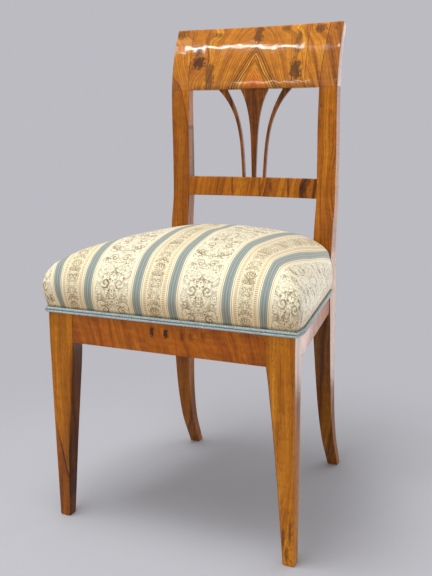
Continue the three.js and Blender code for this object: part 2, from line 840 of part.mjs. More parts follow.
// Waisted coil spring from the webbing up to the hessian, wound as one wire.
const springGaps = [];
function spring(x, y) {
  const wireRadius = springWire / 2;
  const bottom = strapMiddle + strapLift + strapThickness / 2 + gap + wireRadius;
  const rim = Array.from({ length: springStepsPerTurn }, (_, k) => {
    const angle = (2 * Math.PI * k) / springStepsPerTurn;
    const reach = springEndRadius + wireRadius;
    return planShare(x + reach * Math.cos(angle), y + reach * Math.sin(angle));
  });
  const top = hessianTop(Math.max(...rim)) - hessianThickness - springHeadGap - wireRadius;
  const steps = springTurns * springStepsPerTurn;
  const centres = Array.from({ length: steps + 1 }, (_, k) => {
    const t = k / steps;
    const angle = springStart + 2 * Math.PI * springTurns * t;
    const radius = springWaistRadius + (springEndRadius - springWaistRadius) * (2 * t - 1) ** 2;
    const rise = t - (springEndFlatShare * Math.sin(2 * Math.PI * t)) / (2 * Math.PI);
    return new THREE.Vector3(
      x + radius * Math.cos(angle),
      y + radius * Math.sin(angle),
      bottom + (top - bottom) * rise,
    );
  });
  const rings = centres.map((centre, k) => {
    const before = centres[Math.max(0, k - 1)];
    const after = centres[Math.min(steps, k + 1)];
    const along = new THREE.Vector3().subVectors(after, before).normalize();
    const out = new THREE.Vector3(centre.x - x, centre.y - y, 0).normalize();
    const up = new THREE.Vector3().crossVectors(along, out).normalize();
    const side = new THREE.Vector3().crossVectors(up, along);
    return Array.from({ length: springSides }, (_, i) => {
      const angle = (2 * Math.PI * i) / springSides;
      return centre
        .clone()
        .addScaledVector(side, wireRadius * Math.cos(angle))
        .addScaledVector(up, wireRadius * Math.sin(angle));
    });
  });
  centres.forEach((p, i) => {
    centres.slice(i + springStepsPerTurn / 2).forEach((q) => springGaps.push(p.distanceTo(q) - springWire));
  });
  return solidOf(loft(rings));
}

// Profile of the cover, from its hem up over the shoulder to the crown.
const hemBottom = seatFrameTop - coverHemDrop;
const sideRise = seatFrameTop + coverSideHeight - hemBottom;
const hemSwell = hemGap + coverThickness;
const sideSwellRows = scaled(coverSwellShares, (s) => s, coverSwell - hemSwell);
const coverRow = (t, shrink, z) => {
  const swell = hemSwell + valueAt(sideSwellRows, t);
  const round = coverHemRound + (coverCornerRound - coverHemRound) * t;
  const rearSwell = swell - (swell - hemSwell) * rearCalmShare;
  return { swell, rearSwell, round, shrink, z };
};
const coverProfile = [
  coverRow(0, 1, hemBottom),
  coverRow(0, 1, hemBottom + gimpHeight),
  ...coverSideShares.map((t) => coverRow(t, 1, hemBottom + sideRise * t)),
  ...coverDomeShares.map(([shrink, rise]) =>
    coverRow(1, shrink, seatFrameTop + coverSideHeight + (coverCrown - coverSideHeight) * rise),
  ),
];
const coverApex = seatFrameTop + coverCrown;

// The same profile, moved inward square to its surface.
function insetProfile(profile, apex, distance) {
  const along = [...profile.map((row) => [(planReach + row.swell) * row.shrink, row.z]), [0, apex]];
  const rows = profile.map((row, i) => {
    const [beforeReach, beforeZ] = along[Math.max(0, i - 1)];
    const [afterReach, afterZ] = along[i + 1];
    const step = new THREE.Vector2(afterReach - beforeReach, afterZ - beforeZ).normalize();
    const inwardBy = distance * step.y;
    const downBy = -distance * step.x;
    const drawn = row.shrink === 1 ? inwardBy : 0;
    return {
      swell: row.swell - drawn,
      rearSwell: row.rearSwell - drawn,
      round: Math.max(leastRound, row.round - distance),
      shrink: row.shrink - (inwardBy - drawn) / planReach,
      z: row.z - downBy,
    };
  });
  return { rows, apex: apex - distance };
}

const apexPoint = (z) => new THREE.Vector3(0, planMiddleY, z);

// Fabric cover: a thin shell, open below, notched round the posts.
function seatCover() {
  const inner = insetProfile(coverProfile, coverApex, coverThickness);
  const rings = [...inner.rows.reverse(), ...coverProfile].map(planRing);
  const cutter = postCutter();
  return solidOf(domedSolid(apexPoint(inner.apex), rings, apexPoint(coverApex)))
    .subtract(cutter)
    .subtract(mirrored(cutter));
}

// Stuffing between the hessian and the cover.
function stuffing() {
  const outer = insetProfile(coverProfile, coverApex, coverThickness + gap);
  const bottom = hessianTop(1) + gap;
  const above = outer.rows.filter((row) => row.z > bottom + gimpHeight / 2);
  const rimSwell = above[0].rearSwell / 2;
  const rim = { ...above[0], swell: rimSwell, rearSwell: rimSwell, z: bottom };
  const under = [...hessianRingShares, hessianEdgeShare].map((shrink) => ({
    swell: 0,
    round: coverHemRound,
    shrink,
    z: hessianTop(shrink) + gap,
  }));
  const rings = [...under, rim, ...above].map(planRing);
  const cutter = postCutter();
  return solidOf(domedSolid(apexPoint(hessianTop(0) + gap), rings, apexPoint(outer.apex)))
    .subtract(cutter)
    .subtract(mirrored(cutter));
}

// Hessian: a thin domed sheet over the springs, tacked on top of the rails.
function hessian() {
  const rows = (drop) =>
    [...hessianRingShares, hessianEdgeShare].map((shrink) => ({
      swell: 0,
      round: coverHemRound,
      shrink,
      z: hessianTop(shrink) - drop,
    }));
  const rings = [...rows(hessianThickness), ...rows(0).reverse()].map(planRing);
  const cutter = postCutter();
  return solidOf(domedSolid(apexPoint(hessianTop(0) - hessianThickness), rings, apexPoint(hessianTop(0))))
    .subtract(cutter)
    .subtract(mirrored(cutter));
}

// Braid strips along the hem, mitred at the front corners.
const gimpNear = hemSwell + gap;
const gimpFar = gimpNear + gimpThickness;

function frontGimp() {
  const corner = (i, swell) => planCorner(i, swell).toArray();
  const outline = [corner(0, gimpFar), corner(1, gimpFar), corner(1, gimpNear), corner(0, gimpNear)];
  return prism(outline, hemBottom, hemBottom + gimpHeight);
}

function sideGimp() {
  const mitreStep = gap * 1.5;
  const endY = postFrontY(hemBottom + gimpHeight) - hemGap;
  const line = (swell) => {
    const start = planCorner(1, swell);
    const bend = planCorner(2, swell);
    const { point, direction } = planEdge(2, swell);
    const end = point.clone().addScaledVector(direction, (endY - point.y) / direction.y);
    return [[start.x, start.y + mitreStep], bend.toArray(), end.toArray()];
  };
  return prism([...line(gimpFar), ...line(gimpNear).reverse()], hemBottom, hemBottom + gimpHeight);
}

function backGimp() {
  const reach = postInner - gap;
  return block(
    new THREE.Vector3(-reach, backRailBackY + gimpNear, hemBottom),
    new THREE.Vector3(reach, backRailBackY + gimpFar, hemBottom + gimpHeight),
  );
}

// Finishes
const finish = (color, roughness, metalness = 0) =>
  new THREE.MeshStandardMaterial({ color, roughness, metalness, flatShading: true });
const walnut = finish('#a5601c', 0.2);
const figuredVeneer = finish('#c47a22', 0.15);
const redVeneer = finish('#9c4f14', 0.2);
const darkWalnut = finish('#6b3a12', 0.25);
const softwood = finish('#c9a876', 0.7);
const jute = finish('#b59a6a', 0.9);
const steel = finish('#8f8f8c', 0.35, 1);
const canvas = finish('#b8a888', 0.95);
const horsehair = finish('#4a3a2c', 1);
const satin = finish('#e6dcbf', 0.5);
const braid = finish('#7f979a', 0.6);

const chair = new THREE.Group();
function place(name, solid, material) {
  const mesh = new THREE.Mesh(geometryOf(solid), material);
  mesh.name = name;
  chair.add(mesh);
}
function placePair(names, solid, material) {
  place(names[0], mirrored(solid), material);
  place(names[1], solid, material);
}

placePair(['front_left_leg', 'front_right_leg'], frontLeg(), walnut);
placePair(['rear_left_post', 'rear_right_post'], rearPost(), walnut);
place('front_seat_rail', frontRail(), softwood);
place('back_seat_rail', backRail(), walnut);
placePair(['left_seat_rail', 'right_seat_rail'], sideRail(), softwood);
place('front_rail_veneer', frontVeneer(), redVeneer);
placePair(['left_rail_veneer', 'right_rail_veneer'], sideVeneer(), redVeneer);
placePair(['front_left_brace', 'front_right_brace'], frontBrace(), softwood);
placePair(['back_left_brace', 'back_right_brace'], backBrace(), softwood);
place('crest_rail', crestRail(), darkWalnut);
place('crest_veneer', crestVeneer(), figuredVeneer);
place('middle_back_rail', middleRail(), darkWalnut);
place('middle_rail_veneer', middleVeneer(), figuredVeneer);
place('centre_splat', splatBlank(0), darkWalnut);
placePair(['left_slat', 'right_slat'], slatBlank(0), darkWalnut);

[-1, 0, 1].forEach((k, row) => {
  place(`long_strap_${row + 1}`, strap(k * strapSpacing, row, true), jute);
  place(`cross_strap_${row + 1}`, strap(strapRowMiddle + k * strapRowSpacing, row, false), jute);
});

const springPlaces = [
  [-strapSpacing, strapRowMiddle - strapRowSpacing],
  [strapSpacing, strapRowMiddle - strapRowSpacing],
  [0, strapRowMiddle],
  [-strapSpacing, strapRowMiddle + strapRowSpacing],
  [strapSpacing, strapRowMiddle + strapRowSpacing],
];
springPlaces.forEach(([x, y], i) => place(`spring_${i + 1}`, spring(x, y), steel));
console.log(`least gap between a spring's turns: ${Math.min(...springGaps).toFixed(2)} mm`);

place('hessian', hessian(), canvas);
place('seat_stuffing', stuffing(), horsehair);
place('seat_cover', seatCover(), satin);
place('front_gimp', frontGimp(), braid);
placePair(['left_gimp', 'right_gimp'], sideGimp(), braid);
place('back_gimp', backGimp(), braid);

export default chair;
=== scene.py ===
# %% [markdown]
# # A lyre back chair, one piece at a time
#
# This is a small polished walnut side chair of the early nineteenth century kind: a rolled-back
# crest rail, a fan of a splat between two curved slats, tapering front legs, swept rear legs, and
# a sprung seat in striped satin. The exact frame comes from CAD, in the same place and at the
# same size, and each cell below gives one piece or one finish its looks.
#
# Loading the frame first means that every later size can be measured from it.

# %% Load the frame
import math

import bmesh
import bpy
import numpy as np
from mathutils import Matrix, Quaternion, Vector
from mathutils.bvhtree import BVHTree


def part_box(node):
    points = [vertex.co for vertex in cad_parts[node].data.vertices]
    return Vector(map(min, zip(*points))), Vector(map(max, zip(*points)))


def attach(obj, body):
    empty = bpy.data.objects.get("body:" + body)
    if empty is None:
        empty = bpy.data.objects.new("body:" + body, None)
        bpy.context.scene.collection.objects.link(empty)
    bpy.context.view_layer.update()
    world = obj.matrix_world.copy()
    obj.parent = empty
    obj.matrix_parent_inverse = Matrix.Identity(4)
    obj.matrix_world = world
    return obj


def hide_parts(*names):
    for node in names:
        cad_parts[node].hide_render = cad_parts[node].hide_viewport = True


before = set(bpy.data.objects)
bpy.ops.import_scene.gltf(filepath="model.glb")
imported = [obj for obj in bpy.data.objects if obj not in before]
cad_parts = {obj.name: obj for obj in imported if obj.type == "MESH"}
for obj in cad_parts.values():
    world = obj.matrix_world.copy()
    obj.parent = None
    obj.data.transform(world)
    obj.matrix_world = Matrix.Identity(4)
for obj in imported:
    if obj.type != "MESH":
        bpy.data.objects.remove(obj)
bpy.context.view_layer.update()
scene = bpy.context.scene
mm = 0.001

# %% [markdown]
# ## The camera
#
# The photograph was taken from the right and slightly above, from about 1.5 m. Its place and lens
# came from matching the corners of the legs, rails and crest to the picture, so they are written
# here as plain numbers. A camera looks along its own -Z, which `to_track_quat` turns onto a
# direction. There is no depth of field, because the picture is sharp from front to back.

# %% Camera
camera_turn = math.radians(24.83)
camera_fall = math.radians(10.92)
camera_roll = math.radians(-0.11)
camera_place = (0.6224, -1.3635, 0.6970)
picture_height = 576
focal_pixels = 813.0
sensor = 36.0

looking = Vector((
    -math.sin(camera_turn) * math.cos(camera_fall),
    math.cos(camera_turn) * math.cos(camera_fall),
    -math.sin(camera_fall),
))
camera = bpy.data.objects.new("camera", bpy.data.cameras.new("camera"))
scene.collection.objects.link(camera)
camera.location = camera_place
camera.rotation_mode = "QUATERNION"
camera.rotation_quaternion = looking.to_track_quat("-Z", "Y") @ Quaternion((0, 0, 1), camera_roll)
camera.data.sensor_width = sensor
camera.data.lens = focal_pixels / picture_height * sensor
scene.camera = camera
scene.view_settings.view_transform = "Standard"
print("lens:", round(camera.data.lens, 1), "mm")

# %% [markdown]
# ## Colours and nodes
#
# Colours are easiest to choose as sRGB hex values, the way a picture shows them, but a shader
# works in linear light, so one function turns them. A second small function adds a node, sets its
# properties and joins its inputs. A link may be a plain value, a node (its first output), or a
# node with the name or number of an output. Others set the tones of a colour ramp, start an empty
# material, and place an object in the scene.

# %% Colour and node helpers
def linear(code):
    """Linear colour of an sRGB hex code."""
    shares = [int(code[i:i + 2], 16) / 255 for i in (1, 3, 5)]
    return [c / 12.92 if c <= 0.04045 else ((c + 0.055) / 1.055) ** 2.4 for c in shares] + [1.0]


def node(tree, kind, links=None, **settings):
    """Adds one node with its settings and links. Shader nodes go by their short names."""
    made = tree.nodes.new(kind if "Node" in kind else "ShaderNode" + kind)
    for name, value in settings.items():
        setattr(made, name, value)
    for name, value in (links or {}).items():
        if isinstance(value, bpy.types.Node):
            tree.links.new(value.outputs[0], made.inputs[name])
        elif isinstance(value, tuple) and isinstance(value[0], bpy.types.Node):
            tree.links.new(value[0].outputs[value[1]], made.inputs[name])
        else:
            made.inputs[name].default_value = value
    return made


def set_tones(ramp, tones, start, end):
    """Puts hex tones at even places on a colour ramp, from start to end."""
    stops = ramp.color_ramp.elements
    while len(stops) < len(tones):
        stops.new(0.5)
    for stop, tone, at in zip(stops, tones, np.linspace(start, end, len(tones))):
        stop.position = at
        stop.color = linear(tone)


def blank_material(name):
    """A material with an empty node tree."""
    material = bpy.data.materials.new(name)
    material.use_nodes = True
    material.node_tree.nodes.clear()
    return material, material.node_tree


def placed(name, data):
    """An object in the scene, made of a mesh or a light."""
    made = bpy.data.objects.new(name, data)
    scene.collection.objects.link(made)
    return made


print("walnut's middle tone:", [round(c, 3) for c in linear("#b9701f")[:3]])

# %% [markdown]
# ## The studio
#
# The chair stands on a plain grey floor with soft shadows and no horizon. A real studio rolls a
# sheet of paper up the wall. Here the floor is a disc whose outer part fades to the same grey as
# the world, which looks seamless from every side. Only the middle of the disc is lit, so the
# shadows under the chair stay.
#
# The lamps give a white surface about the brightness of white. One broad softbox hangs overhead
# and one stands in front. Both are hidden from reflections, because their wide images would veil
# the polish. Narrow strips give the polish its bright lines instead: two that meet at a
# corner for the line along the crest, and a low one for its lower edge. A broad softbox behind on
# the right and a low card near the rear leg give the polished sides their pale sheen. Light
# linking keeps the card off the floor, where it would draw a bright wedge.

# %% Floor and world
backdrop = linear("#bcbbc1")
floor_radius = 4.0
fade_start = 0.42
fade_end = 0.95

floor_mesh = bpy.data.meshes.new("studio_floor")
floor_turns = np.linspace(0, 2 * math.pi, 96, endpoint=False)
floor_edge = [(floor_radius * math.cos(a), floor_radius * math.sin(a), 0) for a in floor_turns]
floor_mesh.from_pydata(floor_edge, [], [range(len(floor_edge))])
floor = placed("studio_floor", floor_mesh)

paper, tree = blank_material("Grey studio paper")
spot = node(tree, "TexCoord")
reach = node(tree, "VectorMath", {0: (spot, "Object")}, operation="LENGTH")
fade = node(
    tree, "MapRange",
    {"Value": (reach, "Value"), "From Min": fade_start, "From Max": fade_end},
    interpolation_type="SMOOTHSTEP",
)
lit = node(tree, "BsdfDiffuse", {"Color": linear("#bcbcc2")})
flat = node(tree, "Emission", {"Color": backdrop, "Strength": 1.0})
both = node(tree, "MixShader", {0: fade, 1: lit, 2: flat})
node(tree, "OutputMaterial", {"Surface": both})
floor_mesh.materials.append(paper)

world = bpy.data.worlds.new("studio")
scene.world = world
world.use_nodes = True
tree = world.node_tree
tree.nodes.clear()
ray = node(tree, "LightPath")
seen = node(
    tree, "Math", {0: (ray, "Is Camera Ray"), 1: (ray, "Is Glossy Ray")}, operation="MAXIMUM",
)
shown = node(tree, "Math", {0: seen, 1: (ray, "Is Transmission Ray")}, operation="MAXIMUM")
around = node(tree, "Background", {"Color": linear("#ffffff"), "Strength": 0.5})
behind = node(tree, "Background", {"Color": backdrop, "Strength": 1.0})
mixed = node(tree, "MixShader", {0: shown, 1: around, 2: behind})
node(tree, "OutputWorld", {"Surface": mixed})
print("floor and world:", floor.name, world.name)

# %% Lamps
def lamp(name, place, aim, size, watts, mirrored=True):
    """A rectangular softbox that faces a point. Sizes are metres."""
    light = bpy.data.lights.new(name, "AREA")
    light.shape = "RECTANGLE"
    light.size, light.size_y = size
    light.energy = watts
    box = placed(name, light)
    box.location = place
    box.rotation_mode = "QUATERNION"
    box.rotation_quaternion = (Vector(aim) - Vector(place)).to_track_quat("-Z", "Y")
    box.visible_camera = False
    box.visible_glossy = mirrored
    return box


lamp("overhead_softbox", (-0.3, -0.6, 2.8), (0, 0, 0.3), (1.3, 1.1), 43, mirrored=False)
lamp("front_softbox", (-0.2, -3.3, 1.5), (0, 0, 0.5), (2.0, 1.5), 26, mirrored=False)
lamp("side_softbox", (1.5, 2.3, 0.8), (0.1, 0, 0.4), (2.2, 1.5), 16)
card = lamp("side_card", (0.6, 0.68, 0.16), (0.22, -0.1, 0.2), (0.6, 0.42), 2.6)
unlit = bpy.data.collections.new("unlit_by_side_card")
unlit.objects.link(floor)
card.light_linking.receiver_collection = unlit
unlit.collection_objects[0].light_linking.link_state = "EXCLUDE"
lamp("crest_strip", (-0.861, -1.333, 2.5), (-0.45, 0.16, 0.86), (0.32, 0.07), 2.0)
lamp("crest_strip_turn", (-0.715, -1.5, 2.5), (0.8, -1.5, 0.86), (0.24, 0.05), 1.0)
lamp("low_strip", (-1.0, -2.01, 1.38), (0.28, 0.14, 0.79), (0.35, 0.05), 0.4)

# %% [markdown]
# ## Measuring the frame
#
# The CAD meshes are made of flat facets, because a machine needs exact solids. Polished wood
# needs true curves, or every facet shows in its reflections. So the pieces are rebuilt: a smooth
# curve goes through the places measured on each CAD node, and a fine skin of quads follows it.
# The sizes stay those of the frame. Work is in millimetres until a mesh is made.

# %% Measuring helpers
def points_of(name):
    """Corner points of a CAD node, in millimetres."""
    return np.array([v.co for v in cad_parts[name].data.vertices]) / mm


def smooth_curve(places, values):
    """A natural cubic curve through measured values, as a function of the place."""
    x, y = np.array(places, float), np.array(values, float)
    h = np.diff(x)
    system = np.eye(len(x))
    right = np.zeros(len(x))
    for i in range(1, len(x) - 1):
        system[i, i - 1:i + 2] = h[i - 1], 2 * (h[i - 1] + h[i]), h[i]
        right[i] = 6 * ((y[i + 1] - y[i]) / h[i] - (y[i] - y[i - 1]) / h[i - 1])
    bend = np.linalg.solve(system, right)

    def value(place):
        t = np.clip(np.asarray(place, float), x[0], x[-1])
        i = np.clip(np.searchsorted(x, t) - 1, 0, len(h) - 1)
        a, b = (x[i + 1] - t) / h[i], (t - x[i]) / h[i]
        curve = ((a ** 3 - a) * bend[i] + (b ** 3 - b) * bend[i + 1]) * h[i] ** 2 / 6
        return a * y[i] + b * y[i + 1] + curve

    return value


def eased(value, start, end):
    """Rises smoothly from 0 at start to 1 at end."""
    t = np.clip((np.asarray(value, float) - start) / (end - start), 0, 1)
    return t * t * (3 - 2 * t)


def spans(points, axis, stations, slack=0.06):
    """Lowest and highest corner at each station along an axis, for a node made of sections."""
    rows = [points[np.abs(points[:, axis] - s) < slack] for s in stations]
    return np.array([[row.min(0), row.max(0)] for row in rows])


crest_low, crest_high = 778.0, 900.0
post_points = points_of("rear_right_post")
post_stations = np.linspace(0, crest_low - 0.3, 27)
post_spans = spans(post_points, 2, post_stations)
veneer_points = points_of("crest_veneer")
crest_stations = np.linspace(crest_low, crest_high, 10)
crest_edge = veneer_points[np.abs(veneer_points[:, 0] - 174) < 0.06]
crest_front = spans(crest_edge, 2, crest_stations)[:, 0, 1]
front_line = smooth_curve(
    np.append(post_stations, crest_stations[1:]),
    np.append(post_spans[:, 0, 1], crest_front[1:]),
)
back_line = smooth_curve(post_stations, post_spans[:, 1, 1])
inner_line = smooth_curve(post_stations, post_spans[:, 0, 0])
crest_middle = veneer_points[np.abs(veneer_points[:, 0]) < 0.06]
crest_hollow = crest_middle[:, 1].min() - front_line(crest_low)
back_half = 174.0
post_inside = 137.0
print("front line at 0, 412, 778, 900:", np.round(front_line([0, 412, 778, 900]), 1))
print("crest hollow:", round(float(crest_hollow), 2), "mm")

# %% [markdown]
# ## Skins from sections
#
# A leg is a stack of sections, and so is a rail laid on its side. Each section is a rectangle
# whose corners are rounded as a plane and sandpaper leave them. Two extra points beside each
# round hold the flat faces flat, so that smooth shading bends only in the rounds. Bridging the
# sections gives one closed mesh of quads, with a face at each end.

# %% Section and skin helpers
def rounded_section(low, high, radii, between=(0, 0, 0, 0), steps=4, hold=0.5):
    """Points round a rectangle with rounded corners, from its (low, low) corner."""
    corners = [(low[0], low[1], 180), (high[0], low[1], 270),
               (high[0], high[1], 0), (low[0], high[1], 90)]
    inward = [(1, 1), (-1, 1), (-1, -1), (1, -1)]
    arcs = []
    for (cx, cy, start), (ix, iy), r in zip(corners, inward, radii):
        turns = np.radians(start + np.linspace(0, 90, steps + 1))
        arc = np.stack([cx + ix * r + r * np.cos(turns), cy + iy * r + r * np.sin(turns)], 1)
        first, last = (np.array([math.cos(a), math.sin(a)]) for a in turns[[0, -1]] + math.pi / 2)
        arcs.append(np.vstack([arc[0] - hold * first, arc, arc[-1] + hold * last]))
    rows = []
    for k, arc in enumerate(arcs):
        following = arcs[(k + 1) % 4][0]
        shares = np.linspace(0, 1, between[k] + 2)[1:-1, None]
        rows += [arc, arc[-1] * (1 - shares) + following * shares]
    return np.vstack(rows)


def mesh_object(name, points, faces, crease=40):
    """An object from points in millimetres, with its faces turned outward and shaded smooth."""
    mesh = bpy.data.meshes.new(name)
    mesh.from_pydata((np.asarray(points) * mm).tolist(), [], faces)
    work = bmesh.new()
    work.from_mesh(mesh)
    bmesh.ops.recalc_face_normals(work, faces=work.faces)
    work.to_mesh(mesh)
    work.free()
    mesh.shade_smooth()
    mesh.set_sharp_from_angle(angle=math.radians(crease))
    return placed(name, mesh)


def ring_faces(levels, count):
    """Numbers of the points of rings, of the points beside them, and the quads between."""
    index = np.arange(levels * count).reshape(levels, count)
    beside = np.roll(index, -1, axis=1)
    quads = np.stack([index[:-1], beside[:-1], beside[1:], index[1:]], -1)
    return index, beside, quads.reshape(-1, 4).tolist()


def skin(name, rings):
    """A mesh through rings with the same number of points."""
    rings = np.asarray(rings, float)
    index, _, faces = ring_faces(*rings.shape[:2])
    faces += [index[0, ::-1].tolist(), index[-1].tolist()]
    return mesh_object(name, rings.reshape(-1, 3), faces)


def mirrored_copy(piece, name):
    """The same piece for the other side of the chair."""
    points = np.array([v.co for v in piece.data.vertices]) / mm * (-1, 1, 1)
    return mesh_object(name, points, [list(f.vertices) for f in piece.data.polygons])


def farthest(piece, *names):
    """How far the piece's points lie from its CAD nodes, at most, in millimetres."""
    trees = []
    for name in names:
        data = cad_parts[name].data
        sides = [list(polygon.vertices) for polygon in data.polygons]
        trees.append(BVHTree.FromPolygons([v.co for v in data.vertices], sides))
    return max(min(t.find_nearest(v.co)[3] for t in trees) for v in piece.data.vertices) / mm


def stand_in(piece, slot, *names):
    """The piece rides on the chair and stands for CAD nodes. The slot is not used."""
    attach(piece, "root")
    if names:
        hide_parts(*names)
        off = round(farthest(piece, *names), 2)
        print(piece.name, "stands for", ", ".join(names), "within", off, "mm")
    return piece


print("a section has", len(rounded_section((0, 0), (10, 10), (1, 1, 1, 1))), "points")

# %% [markdown]
# ## Rear posts
#
# Each rear leg and back stile is one sawn piece of walnut: swept back below the seat, upright
# beside it, then raked. Bandsawn curves are fair curves, with no flats, so the sections follow the
# measured front, back and inner lines. Near the top, the front face turns to meet the hollow of
# the crest rail, as a maker planes both together after gluing.

# %% Rear posts
post_round = (1.0, 1.4, 2.2, 1.6)
foot_chamfer = 1.2
meeting_start = 690.0


def post_section(z):
    inner, front, back = inner_line(z), front_line(z), back_line(z)
    inset = foot_chamfer * (1 - eased(z, 0, foot_chamfer * 2))
    low, high = (inner + inset, front + inset), (back_half - inset, back - inset)
    ring = rounded_section(low, high, post_round)
    meet = crest_hollow * (1 - (ring[:, 0] / back_half) ** 2) * eased(z, meeting_start, crest_low)
    ring[:, 1] += meet * (back - ring[:, 1]) / (back - front)
    return np.column_stack([ring, np.full(len(ring), z)])


post_heights = np.concatenate([[0, 0.8, 1.8], np.linspace(3.5, crest_low, 150)])
right_post = skin("right_post", [post_section(z) for z in post_heights])
left_post = mirrored_copy(right_post, "left_post")
stand_in(right_post, "walnut", "rear_right_post")
stand_in(left_post, "walnut", "rear_left_post")

# %% [markdown]
# ## Front legs
#
# The front legs are square at the rail and taper to a small foot. Their outer faces stay upright,
# and the taper is all on the inside, which gives the chair its stance. The inner front edge is
# rounded over more and more towards the knee, so its radius is a curve of its own.

# %% Front legs
leg_outside = 228.0
leg_stations = np.append(np.linspace(0, 336, 13), 412)
leg_spans = spans(points_of("front_right_leg"), 2, leg_stations)
leg_inner = smooth_curve(leg_stations, leg_spans[:, 0, 0])
leg_front = smooth_curve(leg_stations, leg_spans[:, 0, 1])
leg_back = smooth_curve(leg_stations, leg_spans[:, 1, 1])
knee_round = smooth_curve([0, 101, 202, 286, 322, 336, 412], [1.6, 3.6, 7.2, 8.0, 4.8, 0.9, 0.9])


def leg_section(z):
    inset = foot_chamfer * (1 - eased(z, 0, foot_chamfer * 2))
    low = (leg_inner(z) + inset, leg_front(z) + inset)
    high = (leg_outside - inset, leg_back(z) - inset)
    return np.column_stack([
        rounded_section(low, high, (max(0.8, float(knee_round(z))), 1.0, 1.2, 1.2), steps=6),
        np.full(36, z),
    ])


leg_heights = np.concatenate([[0, 0.8, 1.8], np.linspace(3.5, 412, 110)])
right_leg = skin("right_leg", [leg_section(z) for z in leg_heights])
left_leg = mirrored_copy(right_leg, "left_leg")
stand_in(right_leg, "walnut", "front_right_leg")
stand_in(left_leg, "walnut", "front_left_leg")

# %% [markdown]
# ## Crest rail
#
# The crest is a thick board, hollowed for the sitter's back and rolled away at the top, with one
# sheet of bookmatched veneer over its face. Its section is drawn flat first, with its height
# across and its depth up, and then bent onto the leaning, hollow front surface. Between the
# posts its lower front edge is rounded well over, and that round catches a line of light.

# %% Crest rail
crest_depth_low, crest_depth_high = 25.0, 17.0
crest_lip = 8.5
crest_end_round = 1.6


def crest_point(x, up, depth):
    """Place of a point of the flat section on the bent crest."""
    z = crest_low + up
    slope = (front_line(z + 3) - front_line(z - 3)) / 6
    lean = np.arctan(slope) * eased(up, 0, 14)
    thick = crest_depth_low + (crest_depth_high - crest_depth_low) * up / (crest_high - crest_low)
    depth = depth * thick / crest_depth_low
    hollow = crest_hollow * (1 - (x / back_half) ** 2)
    y = front_line(z) + hollow + depth * np.cos(lean)
    return np.stack([np.full_like(z, x), y, z - depth * np.sin(lean)], 1)


def crest_section(x):
    past = max(0, (abs(x) - back_half) / crest_end_round + 1)
    inset = crest_end_round * (1 - math.sqrt(max(0, 1 - past ** 2)))
    lip = crest_lip * (1 - float(eased(abs(x), post_inside - 16, post_inside - 2))) + 0.5
    high = (crest_high - crest_low - inset, crest_depth_low - inset)
    rounds = (lip, 3.6, 5.5, 2.5)
    flat = rounded_section((inset, inset), high, rounds, between=(26, 4, 26, 4), steps=6)
    return crest_point(x, flat[:, 0], flat[:, 1])


crest_ends = back_half - crest_end_round * (1 - np.sin(np.radians([90, 72, 50, 25])))
crest_places = np.concatenate([-crest_ends, np.linspace(-172, 172, 117), crest_ends[::-1]])
crest = skin("crest", [crest_section(x) for x in crest_places])
stand_in(crest, "figured_veneer", "crest_rail", "crest_veneer")

# %% [markdown]
# ## Middle back rail
#
# The lower back rail has the same hollow in plan, but stands upright. Its small rounds are what
# a cabinet scraper leaves.

# %% Middle back rail
rail_low, rail_high = 567.9, 605.9
rail_depth = 18.0
rail_points = points_of("middle_rail_veneer")
rail_reach = rail_points[:, 0].max()
rail_stations = np.linspace(-rail_reach, rail_reach, 9)
rail_front = smooth_curve(rail_stations, spans(rail_points, 0, rail_stations)[:, 0, 1])


def rail_section(x):
    front = float(rail_front(x))
    flat = rounded_section((rail_low, front), (rail_high, front + rail_depth), (1.6, 1.6, 2.6, 2.6))
    return np.column_stack([np.full(len(flat), x), flat[:, 1], flat[:, 0]])


rail_places = np.linspace(-post_inside, post_inside, 81)
middle_rail = skin("middle_rail", [rail_section(x) for x in rail_places])
stand_in(middle_rail, "figured_veneer", "middle_back_rail", "middle_rail_veneer")

# %% [markdown]
# ## The fan
#
# The splat flares like a trumpet to meet the crest, and a curved slat stands on each side of it.
# All three are thin boards sawn to shape. Their left and right edges are measured level by level,
# and each runs a little into the rails, where its tenons sit.

# %% Splat and slats
def fan_piece(name, node_name):
    """A thin sawn board that follows a fan piece's measured edges."""
    points = points_of(node_name)
    stations = np.linspace(rail_high + 0.3, crest_low - 0.3, 19)
    rows = spans(points, 2, stations)
    left, right = smooth_curve(stations, rows[:, 0, 0]), smooth_curve(stations, rows[:, 1, 0])
    front, back = points[:, 1].min(), points[:, 1].max()
    rings = []
    shown = np.linspace(rail_high, crest_low, 110)
    for z in np.concatenate([[rail_high - 3], shown, [crest_low + 6]]):
        low, high = float(left(z)), float(right(z))
        ring = rounded_section((low, front), (high, back), (0.9, 0.9, 1.2, 1.2), steps=3, hold=0.35)
        rings.append(np.column_stack([ring, np.full(len(ring), z)]))
    return stand_in(skin(name, rings), "dark_walnut", node_name)


splat = fan_piece("splat", "centre_splat")
right_fan_slat = fan_piece("right_fan_slat", "right_slat")
left_fan_slat = fan_piece("left_fan_slat", "left_slat")

# %% [markdown]
# ## Seat rails and braces
#
# The rails and corner braces have plain sawn shapes that are already right in the frame, but for
# their razor edges. A copy of each is merged into one skin, its flat faces are joined, and a
# Bevel modifier breaks the edges by half a millimetre to one, as sandpaper does.

# %% Rails and braces
def plain_copy(name):
    """A merged copy of a CAD node with its flat faces joined."""
    copy = bpy.data.meshes.new(name)
    work = bmesh.new()
    work.from_mesh(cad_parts[name].data)
    bmesh.ops.remove_doubles(work, verts=work.verts, dist=1e-6)
    flat = math.radians(0.5)
    bmesh.ops.dissolve_limit(work, angle_limit=flat, verts=work.verts, edges=work.edges)
    bmesh.ops.recalc_face_normals(work, faces=work.faces)
    work.to_mesh(copy)
    work.free()
    copy.materials.clear()
    return placed(name, copy)


